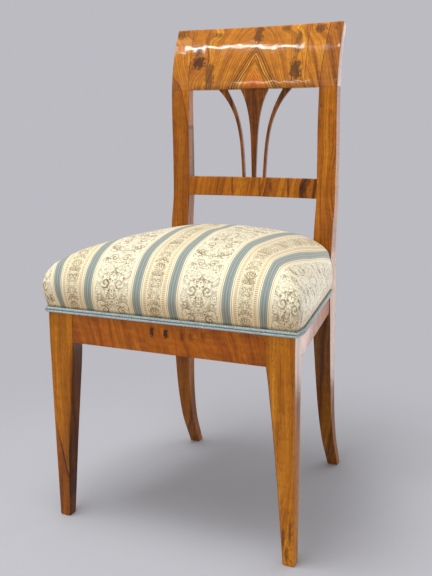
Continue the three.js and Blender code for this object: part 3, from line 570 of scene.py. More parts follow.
def finished(piece, name):
    """The piece as a plain mesh, with its modifiers worked in."""
    bpy.context.view_layer.update()
    ready = piece.evaluated_get(bpy.context.evaluated_depsgraph_get())
    mesh = bpy.data.meshes.new_from_object(ready)
    mesh.name = name
    bpy.data.objects.remove(piece)
    return placed(name, mesh)


def softened(node_name, name, slot_name, width):
    """A CAD node with its edges broken by a width in millimetres."""
    piece = plain_copy(node_name)
    bevel = piece.modifiers.new("broken edges", "BEVEL")
    bevel.width = width * mm
    bevel.segments = 3
    bevel.limit_method = "ANGLE"
    bevel.angle_limit = math.radians(35)
    bevel.use_clamp_overlap = True
    piece = finished(piece, name)
    piece.data.shade_smooth()
    piece.data.set_sharp_from_angle(angle=math.radians(30))
    return stand_in(piece, slot_name, node_name)


show_sides = ("front", "left", "right")
rail_faces = [
    softened(f"{side}_rail_veneer", f"{side}_rail_face", "red_veneer", 0.7)
    for side in show_sides
]
rail_cores = [
    softened(f"{side}_seat_rail", f"{side}_rail_core", "softwood", 0.6)
    for side in show_sides
]
back_rail = softened("back_seat_rail", "back_rail_board", "walnut", 1.0)
braces = [
    softened(f"{corner}_brace", f"{corner}_block", "softwood", 1.0)
    for corner in ("front_left", "front_right", "back_left", "back_right")
]

# %% [markdown]
# ## Polished walnut
#
# The wood is walnut veneer and solid walnut under French polish: many thin coats of shellac,
# rubbed on with a pad. It gives the eye three things. The grain shows as long streaks with thin
# dark growth lines, the pores as short dark flecks, and the polish as a clear coat that is
# glossy but not quite flat, so its highlights waver.
#
# Grain could be an image, but then it would have one size and one place. Here it is noise pulled
# out along the trunk's direction. Every pattern starts from a distance across the grain, in
# metres. Most parts measure it straight across, and the crest bends it first, so one function
# finishes them all. Its scales are real sizes: streaks 9 to 24 mm apart, growth lines 5 to 13 mm,
# and pores 0.2 mm wide, which are drawn at 0.7 mm because finer ones would not show. A knot is a
# ragged dark spot that pushes the lines beside it aside.

# %% The polish over any wood
knot_brown, pore_brown, line_brown = "#3a1b0a", "#3a1c08", "#3b1c07"


def straight(*shares):
    """Straight grain, whose distance across is these shares of x, y and z."""
    def across(tree):
        place = node(tree, "TexCoord"), "Object"
        made = node(tree, "VectorMath", {0: place, 1: shares}, operation="DOT_PRODUCT")
        return made, "Value"

    return across


def grain_noise(tree, place, wide, long, detail, **more):
    """Noise in spots of that many millimetres across the grain and along it."""
    scale = (1 / (wide * mm), 1 / (long * mm), 1)
    stretched = node(tree, "Mapping", {"Vector": place, "Scale": scale})
    return node(tree, "TexNoise", {"Vector": stretched, "Scale": 1.0, "Detail": detail, **more})


def polished_wood(name, tones, across, streak=9.0, lines=6.5, line_depth=0.55, curl=0.25,
                  waver=12.0, knots=(), seed=0.0, gloss=0.2, coat=0.4, marks_and_painted_shade=None):
    """French-polished wood.

    Tones run from the dark figure to the pale one. Streak, lines and waver are millimetres. Each
    knot has its x, z, half width, half height and depth. The last argument adds marks over the
    colour, and on the legs and the right stile also painted shade.
    """
    material, tree = blank_material(name)
    place = node(tree, "TexCoord"), "Object"
    upward = (0, 0, 1)
    lengthwise = node(tree, "VectorMath", {0: place, 1: upward}, operation="DOT_PRODUCT")
    shaky = node(
        tree, "Mapping",
        {"Vector": place, "Location": (seed, seed * 0.7, seed * 0.3), "Scale": (14, 14, 4.5)},
    )
    drift = node(tree, "TexNoise", {"Vector": shaky, "Scale": 1.0, "Detail": 2.0})
    drifted = node(
        tree, "Math", {0: drift, 1: waver * 2 * mm, 2: -waver * mm}, operation="MULTIPLY_ADD",
    )
    field = across(tree)
    moved = node(tree, "Math", {0: field, 1: drifted}, operation="ADD")
    dark_spots = None
    for x, z, wide, tall, depth in knots:
        near = node(
            tree, "Mapping",
            {"Vector": place, "Location": (x * mm, 0, z * mm), "Scale": (wide * mm, 50, tall * mm)},
            vector_type="TEXTURE",
        )
        ragged = node(
            tree, "TexNoise", {"Vector": near, "Scale": 3.0, "Detail": 5.0, "Roughness": 0.7},
        )
        distance = node(tree, "VectorMath", {0: near}, operation="LENGTH")
        rough_edge = node(
            tree, "Math", {0: ragged, 1: 2.8, 2: (distance, "Value")}, operation="MULTIPLY_ADD",
        )
        body = node(
            tree, "MapRange",
            {"Value": rough_edge, "From Min": 2.3, "From Max": 2.0, "To Max": depth},
            interpolation_type="SMOOTHSTEP",
        )
        push = node(
            tree, "MapRange",
            {
                "Value": (distance, "Value"), "From Min": 2.6, "From Max": 0.2,
                "To Max": wide * 0.9 * mm,
            },
            interpolation_type="SMOOTHSTEP",
        )
        moved = node(tree, "Math", {0: moved, 1: push}, operation="ADD")
        if dark_spots is not None:
            body = node(tree, "Math", {0: dark_spots, 1: body}, operation="MAXIMUM")
        dark_spots = body

    grain_place = node(tree, "CombineXYZ", {0: moved, 1: (lengthwise, "Value"), 2: seed})
    streaks = grain_noise(tree, grain_place, streak, streak * 26, 5.0, Roughness=0.6)
    ramp = node(tree, "ValToRGB", {0: streaks})
    set_tones(ramp, tones, 0.3, 0.7)

    fine = grain_noise(tree, grain_place, 1.6, 60, 3.0)
    curls = grain_noise(tree, grain_place, 22, 11, 2.0, Distortion=0.6)
    fine_tone, curl_tone = (
        node(
            tree, "MapRange",
            {"Value": noise, "From Min": 0.3, "From Max": 0.7, "To Min": least, "To Max": most},
        )
        for noise, least, most in ((fine, 0.86, 1.12), (curls, 1 - curl, 1 + curl * 0.7))
    )
    both = node(tree, "Math", {0: fine_tone, 1: curl_tone}, operation="MULTIPLY")
    toned = node(tree, "VectorMath", {0: ramp, "Scale": both}, operation="SCALE")

    turns = node(tree, "Math", {0: moved, 1: 2 * math.pi / (lines * mm)}, operation="MULTIPLY")
    uneven = node(tree, "Math", {0: streaks, 1: 7.0, 2: turns}, operation="MULTIPLY_ADD")
    wave = node(tree, "Math", {0: uneven}, operation="SINE")
    line = node(
        tree, "MapRange",
        {"Value": wave, "From Min": 0.72, "From Max": 1.0, "To Max": line_depth},
        interpolation_type="SMOOTHSTEP",
    )
    patch = node(
        tree, "MapRange", {"Value": drift, "From Min": 0.42, "From Max": 0.62, "To Min": 0.25},
    )
    lined = node(tree, "Math", {0: line, 1: patch}, operation="MULTIPLY")
    inked = node(tree, "Mix", {0: lined, 6: toned, 7: linear(tones[0])}, data_type="RGBA")
    pores = grain_noise(tree, grain_place, 0.7, 9, 0.0)
    pore = node(
        tree, "MapRange", {"Value": pores, "From Min": 0.6, "From Max": 0.74, "To Max": 0.45},
    )
    colour = node(tree, "Mix", {0: pore, 6: (inked, 2), 7: linear(pore_brown)}, data_type="RGBA")
    if dark_spots is not None:
        colour = node(
            tree, "Mix", {0: dark_spots, 6: (colour, 2), 7: linear(knot_brown)}, data_type="RGBA",
        )
    if marks_and_painted_shade is not None:
        colour = marks_and_painted_shade(tree, place, colour)

    ripple = node(tree, "TexNoise", {"Vector": place, "Scale": 1 / (26 * mm), "Detail": 1.0})
    relief = node(tree, "Math", {0: pore, 1: -0.12, 2: ripple}, operation="MULTIPLY_ADD")
    bump = node(tree, "Bump", {"Strength": 0.35, "Distance": 1.2 * mm, "Height": relief})
    wood = node(tree, "BsdfPrincipled", {
        "Base Color": (colour, 2), "Roughness": 0.4, "IOR": 1.5, "Specular IOR Level": 0.08,
        "Normal": bump, "Coat Weight": coat, "Coat Roughness": gloss, "Coat IOR": 1.5,
        "Coat Normal": bump,
    })
    node(tree, "OutputMaterial", {"Surface": wood})
    return material


def dressed(material, *items):
    """Gives objects one material."""
    for item in items:
        item.data.materials.clear()
        item.data.materials.append(material)


# %% [markdown]
# ## Front legs
#
# The front legs are faced with pale veneer. Their inner sides are darkened with painted shade.
# Low on the left leg two dark lines of figure run together in a V. A few pin holes stay under the
# braid from an older cover, and the right foot has dark streaks.
#
# Such marks are lines at a known place. A line is strong where a value is near the line's middle,
# so one function draws them all, here and on the pieces below.

# %% Leg finish
def drawn_line(tree, value, middle, edge, core, depth=1.0):
    """Strength of a line about a middle value: full within the core, and nothing past the edge."""
    off = node(tree, "Math", {0: value, 1: middle}, operation="SUBTRACT")
    away = node(tree, "Math", {0: off}, operation="ABSOLUTE")
    return node(
        tree, "MapRange", {"Value": away, "From Min": edge, "From Max": core, "To Max": depth},
    )


v_tip = (-0.204, 0.075)
v_lean, v_spread, v_waver, v_line = 0.063, 0.133, 0.004, 0.002


def leg_marks(tree, place, colour):
    """Painted shade on the inner sides, and the V of figure on the left leg."""
    split = node(tree, "SeparateXYZ", {0: place})
    # Painted shade: faces turned toward the chair's middle are darkened, like the shade under the
    # seat.
    facing = node(tree, "NewGeometry")
    turned = node(tree, "SeparateXYZ", {0: (facing, "Normal")})
    side = node(tree, "Math", {0: (split, 0)}, operation="SIGN")
    inward = node(tree, "Math", {0: side, 1: (turned, 0)}, operation="MULTIPLY")
    inner = node(tree, "MapRange", {"Value": inward, "From Min": -0.4, "From Max": -0.8})
    shaded = node(
        tree, "Mix", {0: inner, 6: (colour, 2), 7: (0.36, 0.3, 0.26, 1)},
        data_type="RGBA", blend_type="MULTIPLY",
    )
    wander = node(tree, "TexNoise", {"Vector": place, "Scale": 45.0, "Detail": 2.0})
    above = node(tree, "Math", {0: (split, 2), 1: v_tip[1]}, operation="SUBTRACT")
    rise = node(tree, "Math", {0: above, 1: 0.0}, operation="MAXIMUM")
    aside = node(tree, "Math", {0: (split, 0), 1: v_tip[0]}, operation="SUBTRACT")
    leaning = node(tree, "Math", {0: rise, 1: v_lean, 2: aside}, operation="MULTIPLY_ADD")
    off_middle = node(tree, "Math", {0: leaning}, operation="ABSOLUTE")
    outside = node(tree, "Math", {0: rise, 1: -v_spread, 2: off_middle}, operation="MULTIPLY_ADD")
    uneven = node(tree, "Math", {0: wander, 1: v_waver, 2: outside}, operation="MULTIPLY_ADD")
    past = node(tree, "Math", {0: uneven, 1: v_line}, operation="SUBTRACT")
    brown = node(
        tree, "MapRange",
        {"Value": past, "From Min": -0.3 * mm, "From Max": 0.8 * mm, "To Max": 0.8},
    )
    line = drawn_line(tree, uneven, v_line, 2 * mm, 0.8 * mm, 0.9)
    low = node(tree, "MapRange", {"Value": (split, 2), "From Min": 0.2, "From Max": 0.13})
    on_left = node(tree, "Math", {0: (split, 0), 1: 0.0}, operation="LESS_THAN")
    there = node(tree, "Math", {0: low, 1: on_left}, operation="MULTIPLY")
    brown_there = node(tree, "Math", {0: brown, 1: there}, operation="MULTIPLY")
    line_there = node(tree, "Math", {0: line, 1: there}, operation="MULTIPLY")
    browned = node(
        tree, "Mix", {0: brown_there, 6: (shaded, 2), 7: (0.62, 0.5, 0.4, 1)},
        data_type="RGBA", blend_type="MULTIPLY",
    )
    return node(
        tree, "Mix", {0: line_there, 6: (browned, 2), 7: linear(line_brown)}, data_type="RGBA",
    )


hole_places = ((185, 372), (195, 374), (207, 375), (223, 376), (191, 348))
pin_holes = [(x, z, 1.2, 1.2, 0.9) for x, z in hole_places]
foot_streaks = [(209, 48, 3.4, 26, 0.6), (221, 60, 3.2, 28, 0.55), (215, 22, 4.5, 16, 0.5)]
leg_walnut = polished_wood(
    "French-polished walnut, quarter sawn",
    ("#5e2e03", "#9c5908", "#b96d0c", "#c87c14", "#d68e22"),
    straight(1, 0.75, 0), streak=13, lines=6.5, line_depth=0.3, curl=0.1,
    knots=pin_holes + foot_streaks, seed=3.7, marks_and_painted_shade=leg_marks,
)
dressed(leg_walnut, right_leg, left_leg)
print("finished:", leg_walnut.name)

# %% [markdown]
# ## Stiles in two veneers
#
# Each stile is faced with its own veneer, browner than the crest's. On the left one, the crest's
# pale end piece runs down over the stile and ends in a long curve. A veneer joint is a thin dark
# line, so the joint is a curve of x over height, with the line drawn where a point is within half
# a millimetre of it, and a browner tone on the stile's side.

# %% Stile finish
def joint_line(tree, place, rows, colour, side, tone):
    """Tints the wood on one side of a joint and draws it. Rows are (height, x) in millimetres."""
    split = node(tree, "SeparateXYZ", {0: place})
    low, high = rows[0][0], rows[-1][0]
    share = node(
        tree, "MapRange", {"Value": (split, 2), "From Min": low * mm, "From Max": high * mm},
    )
    curve = node(tree, "FloatCurve", {"Value": share})
    edge = curve.mapping.curves[0]
    xs = [x for _, x in rows]
    least, most = min(xs), max(xs)
    while len(edge.points) < len(rows):
        edge.points.new(0.5, 0.5)
    for point, (z, x) in zip(edge.points, rows):
        point.location = ((z - low) / (high - low), (x - least) / (most - least))
    curve.mapping.update()
    joint = node(
        tree, "Math", {0: curve, 1: (most - least) * mm, 2: least * mm}, operation="MULTIPLY_ADD",
    )
    gap = node(tree, "Math", {0: (split, 0), 1: joint}, operation="SUBTRACT")
    blend = 0.2 * mm * side
    beyond = node(tree, "MapRange", {"Value": gap, "From Min": -blend, "From Max": blend})
    tinted = node(
        tree, "Mix", {0: beyond, 6: (colour, 2), 7: tone},
        data_type="RGBA", blend_type="MULTIPLY",
    )
    line = drawn_line(tree, (split, 0), joint, 1.0 * mm, 0.3 * mm, 0.75)
    return node(tree, "Mix", {0: line, 6: (tinted, 2), 7: linear(line_brown)}, data_type="RGBA")


def low_shade(tree, place, colour):
    """Painted shade: darkens the wood below the seat, where the seat's shadow falls."""
    split = node(tree, "SeparateXYZ", {0: place})
    low = node(tree, "MapRange", {"Value": (split, 2), "From Min": 0.42, "From Max": 0.34})
    return node(
        tree, "Mix", {0: low, 6: (colour, 2), 7: (0.62, 0.66, 0.8, 1)},
        data_type="RGBA", blend_type="MULTIPLY",
    )


left_joint = [(560, -131), (690, -135), (740, -145), (778, -153), (800, -168), (812, -180)]
right_joint = [(700, 130), (778, 138), (812, 140), (845, 143), (900, 147)]
brown_tint = (0.72, 0.66, 0.62, 1)
left_stile_knots = [(-160, 250, 8, 14, 0.5), (-152, 232, 6, 10, 0.5)]
right_stile_knots = [(172, 590, 12, 34, 0.0)]
left_stile_walnut = polished_wood(
    "French-polished walnut, left stile",
    ("#5a2c02", "#95540a", "#b0660c", "#bf7412", "#cc8420"),
    straight(1, 0.6, 0), streak=10, line_depth=0.35, curl=0.12, seed=1.7, knots=left_stile_knots,
    marks_and_painted_shade=lambda tree, place, colour: joint_line(tree, place, left_joint, colour, -1, brown_tint),
)
right_stile_walnut = polished_wood(
    "French-polished walnut, right stile",
    ("#552802", "#8e4e06", "#aa5f08", "#ba6f0e", "#c87f1a"),
    straight(1, 0.6, 0), streak=12, line_depth=0.4, curl=0.14, seed=5.3, knots=right_stile_knots,
    marks_and_painted_shade=low_shade,
)
dressed(left_stile_walnut, left_post)
dressed(right_stile_walnut, right_post, back_rail)
print("finished:", left_stile_walnut.name, "and", right_stile_walnut.name)

# %% [markdown]
# ## Bookmatched crest veneer
#
# Two leaves cut one after the other from the same walnut crotch are opened like a book, so each
# is the other's mirror image. In the middle the grain meets in nested arrowheads. Taking the
# absolute value of x gives that mirror in one step. Lowering it by a share of the height slopes
# the streaks outward, less and less towards the ends, as in the tree. The end pieces past the two
# upright joints have plain straight grain, and knots push the lines aside as they do in wood.

# %% Crest finish
arrow_top = 0.866
arrow_slope = 0.62
arrow_lines = ((0.002, 1.5, 0.6), (-0.0035, 1.7, 0.85), (-0.009, 1.5, 0.8), (-0.0145, 1.8, 0.9))
left_seam, right_seam = -0.139, 0.107


def crotch_field(tree):
    """Distance across the grain over the crest: arrowheads between the seams, straight beyond."""
    place = node(tree, "TexCoord"), "Object"
    split = node(tree, "SeparateXYZ", {0: place})
    aside = node(tree, "Math", {0: (split, 0)}, operation="ABSOLUTE")
    steep = node(
        tree, "MapRange", {"Value": aside, "From Max": 0.13, "To Min": 0.66, "To Max": 0.16},
    )
    drop = node(tree, "Math", {0: arrow_top, 1: (split, 2)}, operation="SUBTRACT")
    slide = node(tree, "Math", {0: drop, 1: steep}, operation="MULTIPLY")
    arrow = node(tree, "Math", {0: aside, 1: slide}, operation="SUBTRACT")
    past_left = node(tree, "Math", {0: (split, 0), 1: left_seam}, operation="LESS_THAN")
    past_right = node(tree, "Math", {0: (split, 0), 1: right_seam}, operation="GREATER_THAN")
    past = node(tree, "Math", {0: past_left, 1: past_right}, operation="ADD")
    plain = node(tree, "VectorMath", {0: place, 1: (1, 0.3, 0.22)}, operation="DOT_PRODUCT")
    plain_moved = node(tree, "Math", {0: (plain, "Value"), 1: 0.31}, operation="ADD")
    chosen = node(tree, "Mix", {0: past, 2: arrow, 3: plain_moved}, data_type="FLOAT")
    return chosen


def crest_marks(tree, place, colour):
    """Arrowhead lines, the reddish heart, the seams and the stile's joint, over the wood."""
    split = node(tree, "SeparateXYZ", {0: place})
    wander = node(tree, "TexNoise", {"Vector": place, "Scale": 22.0, "Detail": 2.0})
    wandered = node(tree, "Math", {0: wander, 1: 0.012, 2: -0.006}, operation="MULTIPLY_ADD")
    aside = node(tree, "Math", {0: (split, 0)}, operation="ABSOLUTE")
    drop = node(tree, "Math", {0: arrow_top, 1: (split, 2)}, operation="SUBTRACT")
    slide = node(tree, "Math", {0: drop, 1: -arrow_slope, 2: aside}, operation="MULTIPLY_ADD")
    arrow = node(tree, "Math", {0: slide, 1: wandered}, operation="ADD")
    heart = node(tree, "MapRange", {"Value": arrow, "From Min": -0.021, "From Max": -0.03})
    colour = node(
        tree, "Mix", {0: heart, 6: (colour, 2), 7: (1.02, 0.72, 0.5, 1)},
        data_type="RGBA", blend_type="MULTIPLY",
    )
    above = node(tree, "MapRange", {"Value": drop, "From Min": -0.004, "From Max": 0.012})
    for middle, thick, depth in arrow_lines:
        line = drawn_line(tree, arrow, middle, thick * mm, thick * 0.3 * mm, depth)
        kept = node(tree, "Math", {0: line, 1: above}, operation="MULTIPLY")
        colour = node(
            tree, "Mix", {0: kept, 6: (colour, 2), 7: linear("#4a2308")}, data_type="RGBA",
        )
    for seam in (left_seam, right_seam):
        line = drawn_line(tree, (split, 0), seam, 0.9 * mm, 0.3 * mm, 0.7)
        colour = node(
            tree, "Mix", {0: line, 6: (colour, 2), 7: linear("#47210a")}, data_type="RGBA",
        )
    colour = joint_line(tree, place, right_joint, colour, 1, (0.74, 0.66, 0.6, 1))
    return joint_line(tree, place, left_joint, colour, -1, brown_tint)


crest_knots = [
    (-126, 856, 11, 11, 0.8), (-119, 832, 17, 16, 0.85), (-95, 806, 12, 34, 0.65),
    (86, 812, 16, 26, 0.8), (86, 862, 8, 34, 0.65), (0, 882, 12, 24, 0.7),
    (129, 889, 16, 10, 0.65), (-164, 890, 14, 11, 0.65), (-85, 886, 10, 6, 0.5),
    (60, 893, 16, 5, 0.45),
]
crest_veneer_finish = polished_wood(
    "Bookmatched crotch walnut under shellac",
    ("#5c3005", "#a55f0a", "#bd7210", "#cb8419", "#dc9e30"),
    crotch_field, streak=9, lines=6.0, line_depth=0.6, curl=0.16, waver=6, knots=crest_knots,
    seed=2.2, gloss=0.05, coat=1.0, marks_and_painted_shade=crest_marks,
)
dressed(crest_veneer_finish, crest)
print("finished:", crest_veneer_finish.name, "with", len(crest_knots), "knots")

# %% [markdown]
# ## The other show woods
#
# The middle rail is crossbanded, with its grain upright in bold stripes. The front and side rails
# have a redder leaf with a row of small knots. The splat and slats are solid walnut, darker, with
# growth lines close together.

# %% Middle rail, seat rails and fan
middle_finish = polished_wood(
    "Striped walnut crossbanding under shellac",
    ("#4c2403", "#8e4c06", "#ad640a", "#bd7410", "#a8741c"),
    straight(1, 0.3, -0.2), streak=24, lines=13, line_depth=0.85, curl=0.1, waver=9,
    knots=[(-45, 588, 3, 30, 0.6), (14, 588, 3, 30, 0.5), (38, 588, 5, 14, 0.6),
           (76, 590, 3.5, 30, 0.7), (108, 588, 9, 12, 0.75)],
    seed=4.4,
)
dressed(middle_finish, middle_rail)
rail_finish = polished_wood(
    "Reddish walnut veneer under shellac",
    ("#6a3004", "#984a08", "#ad5a0a", "#bd680e", "#ca7a1c"),
    straight(0.8, 1, 0.25), streak=16, lines=11, line_depth=0.35, curl=0.2, waver=22,
    knots=[(-22, 372, 5, 11, 0.9), (4, 371, 6, 11, 0.95), (5, 388, 4, 3, 0.6),
           (34, 369, 5, 9, 0.45), (50, 370, 6, 9, 0.4), (72, 374, 6, 8, 0.4)],
    seed=6.0,
)
dressed(rail_finish, *rail_faces)
fan_finish = polished_wood(
    "Dark mottled walnut under shellac",
    ("#2f1604", "#5a2c06", "#743d0a", "#884a0e", "#985a18"),
    straight(1, 0.8, 0), streak=9, lines=5, line_depth=0.35, curl=0.2, waver=7, seed=7.5,
)
dressed(fan_finish, splat, right_fan_slat, left_fan_slat)
print("finished:", middle_finish.name, rail_finish.name, fan_finish.name, sep="\n  ")

# %% [markdown]
# ## Sawn softwood
#
# Inside the seat nobody polished anything. The rail cores and corner blocks are pale pine, left
# from the saw and dulled with age. Saw marks are faint slanting ridges a few millimetres apart,
# and the grain runs along each rail.

# %% Softwood finish
def sawn_wood(name, along):
    """Bare softwood whose grain runs along one direction."""
    material, tree = blank_material(name)
    place = node(tree, "TexCoord"), "Object"
    scales = [5.0 if share else 90.0 for share in along]
    stretched = node(tree, "Mapping", {"Vector": place, "Scale": scales})
    grain = node(
        tree, "TexNoise", {"Vector": stretched, "Scale": 1.0, "Detail": 4.0, "Roughness": 0.6},
    )
    ramp = node(tree, "ValToRGB", {0: grain})
    set_tones(ramp, ("#8f6a3c", "#d0ad78"), 0.3, 0.7)
    grime = node(tree, "TexNoise", {"Vector": place, "Scale": 16.0, "Detail": 3.0})
    dull = node(
        tree, "MapRange", {"Value": grime, "From Min": 0.35, "From Max": 0.7, "To Max": 0.35},
    )
    aged = node(tree, "Mix", {0: dull, 6: ramp, 7: linear("#7c6240")}, data_type="RGBA")
    saw = node(tree, "TexWave", {"Vector": place, "Scale": 48.0, "Distortion": 1.5},
               bands_direction="DIAGONAL")
    bump = node(tree, "Bump", {"Strength": 0.25, "Distance": 0.4 * mm, "Height": (saw, "Fac")})
    wood = node(tree, "BsdfPrincipled", {
        "Base Color": (aged, 2), "Roughness": 0.75, "Specular IOR Level": 0.3, "Normal": bump,
    })
    node(tree, "OutputMaterial", {"Surface": wood})
    return material


across_softwood = sawn_wood("Aged pine, sawn, grain across the chair", (1, 0, 0))
deep_softwood = sawn_wood("Aged pine, sawn, grain front to back", (0, 1, 0))
dressed(across_softwood, rail_cores[0], *braces)
dressed(deep_softwood, *rail_cores[1:])
print("finished:", across_softwood.name, "and", deep_softwood.name)

# %% [markdown]
# ## The stuffed seat
#
# The seat is built up over the rails: springs, hessian, a deep pad of horsehair, and the satin
# pulled over it all and tacked under the braid. Stuffing pushes outward everywhere, so the form is
# an even swelling that only the tacks and the posts hold back. It could be sculpted, but cloth
# simulation finds that balance by itself. The form starts from the frame's own sizes, slightly
# shrunk, and pressure then fills it, with its hem pinned.
#
# First comes the starting form, as rings round the seat from the hem to the crown. The seat's plan
# is a polygon. Each ring moves its edges outward, spreads points along them, and blurs the
# corners round.

# %% Starting form of the seat
seat_plan = np.array([(-228, -224), (228, -224), (228, -193), (174, 130), (168, 160),
                      (-168, 160), (-174, 130), (-228, -193)], float)
seat_middle = np.array([0.0, -32.0])
seat_reach = 201.0
hem_low, hem_top = 387.5, 397.5
edge_counts = (58, 8, 46, 8, 38, 8, 46, 8)
fine_steps = 1200
calm_share, rear_from, rear_to = 0.4, -60, 130
edge_blur, shoulder_blur, round_from, evening = 1.2, 13.0, 0.12, 0.9
profile_rows = np.array([
    # share of the way up, swelling, height, shrink
    (0.00, 1.9, 387.5, 1.0), (0.12, 1.9, 397.6, 1.0), (0.25, 5.8, 408.6, 1.0),
    (0.45, 11.3, 425.5, 1.0), (0.63, 11.4, 440.7, 1.0), (0.82, 6.8, 456.8, 1.0),
    (1.00, -1.2, 470.6, 1.0), (1.13, -1.0, 479.6, 0.950), (1.32, 3.0, 491.4, 0.865),
    (1.55, 6.0, 504.2, 0.725), (1.79, 6.0, 514.9, 0.54), (2.02, 6.0, 522.6, 0.34),
    (2.21, 6.0, 526.5, 0.15), (2.36, 6.0, 527.0, 0.03),
])


def moved_plan(outward):
    """Corners of the seat's plan with every edge moved outward."""
    along = np.roll(seat_plan, -1, axis=0) - seat_plan
    along /= np.linalg.norm(along, axis=1)[:, None]
    normal = np.stack([along[:, 1], -along[:, 0]], 1)
    start = seat_plan + normal * outward
    before, line = np.roll(start, 1, axis=0), np.roll(along, 1, axis=0)
    gap = start - before
    crossed = gap[:, 0] * along[:, 1] - gap[:, 1] * along[:, 0]
    reach = crossed / (line[:, 0] * along[:, 1] - line[:, 1] * along[:, 0])
    return before + line * reach[:, None]


def spread(corners):
    """Points along the plan's edges, with a fixed number to each edge."""
    rows = []
    for k, count in enumerate(edge_counts):
        shares = (np.arange(count) / count)[:, None]
        rows.append(corners[k] * (1 - shares) + np.roll(corners, -1, axis=0)[k] * shares)
    return np.vstack(rows)


def blurred(ring, width):
    """The closed ring smoothed along its own length, with a bell curve of that width."""
    steps = np.linalg.norm(np.roll(ring, -1, axis=0) - ring, axis=1)
    travelled = np.concatenate([[0], np.cumsum(steps)])
    total = travelled[-1]
    even = np.linspace(0, total, fine_steps, endpoint=False)
    closed = np.vstack([ring, ring[:1]])
    fine = np.stack([np.interp(even, travelled, closed[:, k]) for k in range(2)], 1)
    number = np.arange(fine_steps)
    offsets = np.minimum(number, fine_steps - number) * total / fine_steps
    bell = np.exp(-0.5 * (offsets / width) ** 2)
    share = np.fft.fft(bell / bell.sum())[:, None]
    soft = np.real(np.fft.ifft(np.fft.fft(fine, axis=0) * share, axis=0))
    places = travelled[:-1]
    return np.stack([np.interp(places, even, soft[:, k], period=total) for k in range(2)], 1)


def seat_ring(swell, z, shrink, share, inward=0.0):
    """One ring of the seat. It swells less beside the posts and evens out toward a circle."""
    hem_swell = profile_rows[0, 1]
    calm = spread(moved_plan(hem_swell + (swell - hem_swell) * calm_share - inward))
    full = spread(moved_plan(swell - inward))
    rear = eased(full[:, 1], rear_from, rear_to)[:, None]
    ring = full * (1 - rear) + calm * rear
    ring = blurred(ring, edge_blur + shoulder_blur * max(0.0, min(1.0, share) - round_from))
    spoke = ring - seat_middle
    reach = np.linalg.norm(spoke, axis=1)[:, None]
    kept = shrink * (1 + evening * (1 - shrink) * (seat_reach / reach - 1))
    return np.column_stack([seat_middle + spoke * kept, np.full(len(ring), z)])


def seat_rings(inward=0.0, rows=54):
    """Rings from the hem to the crown, on smooth curves through the profile's rows."""
    across = np.diff((seat_reach + profile_rows[:, 1]) * profile_rows[:, 3])
    step = np.hypot(across, np.diff(profile_rows[:, 2]))
    length = np.concatenate([[0], np.cumsum(step)])
    curves = [smooth_curve(length, profile_rows[:, k]) for k in range(4)]
    rings = []
    for place in np.linspace(0, length[-1], rows):
        share, swell, z, shrink = (float(curve(place)) for curve in curves)
        down, narrower = inward * eased(share, 0.5, 1.6), inward * eased(share, 0.12, 0.4)
        rings.append(seat_ring(swell, z - down, min(1.0, shrink), share, narrower))
    return np.array(rings)


cover_form = seat_rings()
print("seat form:", cover_form.shape, "crown at", round(float(cover_form[..., 2].max()), 1), "mm")

# %% [markdown]
# The simulation runs on a closed skin: the form, a flat underside and a point on top. Its hem and
# underside are pinned. Pressure inflates the rest for 20 frames with gravity off. No point may
# end more than a few millimetres from the form, so the seat stays the frame's seat. The cloth has
# no randomness, so each run gives the same result.

# %% Filling the seat by cloth simulation
fill_start = 1.5
fill_limit = 3.5
fill_frames = 20
fill_settings = {
    "quality": 4, "mass": 0.3, "tension_stiffness": 30, "compression_stiffness": 30,
    "shear_stiffness": 12, "bending_stiffness": 4, "use_pressure": True,
    "uniform_pressure_force": 4,
}


def filled(rings, name):
    """The rings after pressure has filled them."""
    levels, count = rings.shape[:2]
    floor_shares = (0.85, 0.6, 0.3)
    middle = np.array([*seat_middle, hem_low])
    under = np.array([(rings[0] - middle) * share + middle for share in floor_shares[::-1]])
    stack = np.concatenate([under, rings])
    points = np.vstack([stack.reshape(-1, 3), middle, [*seat_middle, rings[-1, :, 2].max() + 0.1]])
    index, beside, faces = ring_faces(len(stack), count)
    low, high = len(points) - 2, len(points) - 1
    faces += [[low, b, a] for a, b in zip(index[0], beside[0])]
    faces += [[high, a, b] for a, b in zip(index[-1], beside[-1])]
    ball = mesh_object(name, points, faces)
    held = points[:, 2] < hem_top + 3
    pins = ball.vertex_groups.new(name="tacked")
    pins.add(np.nonzero(held)[0].tolist(), 1.0, "REPLACE")
    cloth = ball.modifiers.new("stuffing", "CLOTH")
    for setting, value in fill_settings.items():
        setattr(cloth.settings, setting, value)
    cloth.settings.vertex_group_mass = "tacked"
    cloth.settings.effector_weights.gravity = 0
    cloth.point_cache.frame_start, cloth.point_cache.frame_end = 1, fill_frames
    for now in range(1, fill_frames + 1):
        scene.frame_set(now)
    ready = ball.evaluated_get(bpy.context.evaluated_depsgraph_get())
    after = np.array([v.co for v in ready.data.vertices]) / mm
    scene.frame_set(1)
    bpy.data.objects.remove(ball)
    moved = np.linalg.norm(after - points, axis=1)
    print("filling moved the skin by", round(float(moved.mean()), 2), "mm")
    return after[len(floor_shares) * count:-2].reshape(rings.shape)


def near_form(rings, form, limit):
    """The rings, with no point farther than the limit from the form."""
    shift = rings - form
    size = np.linalg.norm(shift, axis=2)[..., None]
    mean, most = round(float(size.mean()), 2), round(float(size.max()), 2)
    print("filled skin lies", mean, "mm from the form,", most, "at most")
    return form + shift * np.minimum(1, limit / np.maximum(size, 1e-6))


filled_rings = filled(seat_rings(inward=fill_start), "seat_filling")
cover_rings = near_form(filled_rings, cover_form, fill_limit)
print("seat after filling: crown", round(float(cover_rings[..., 2].max()), 1), "mm")

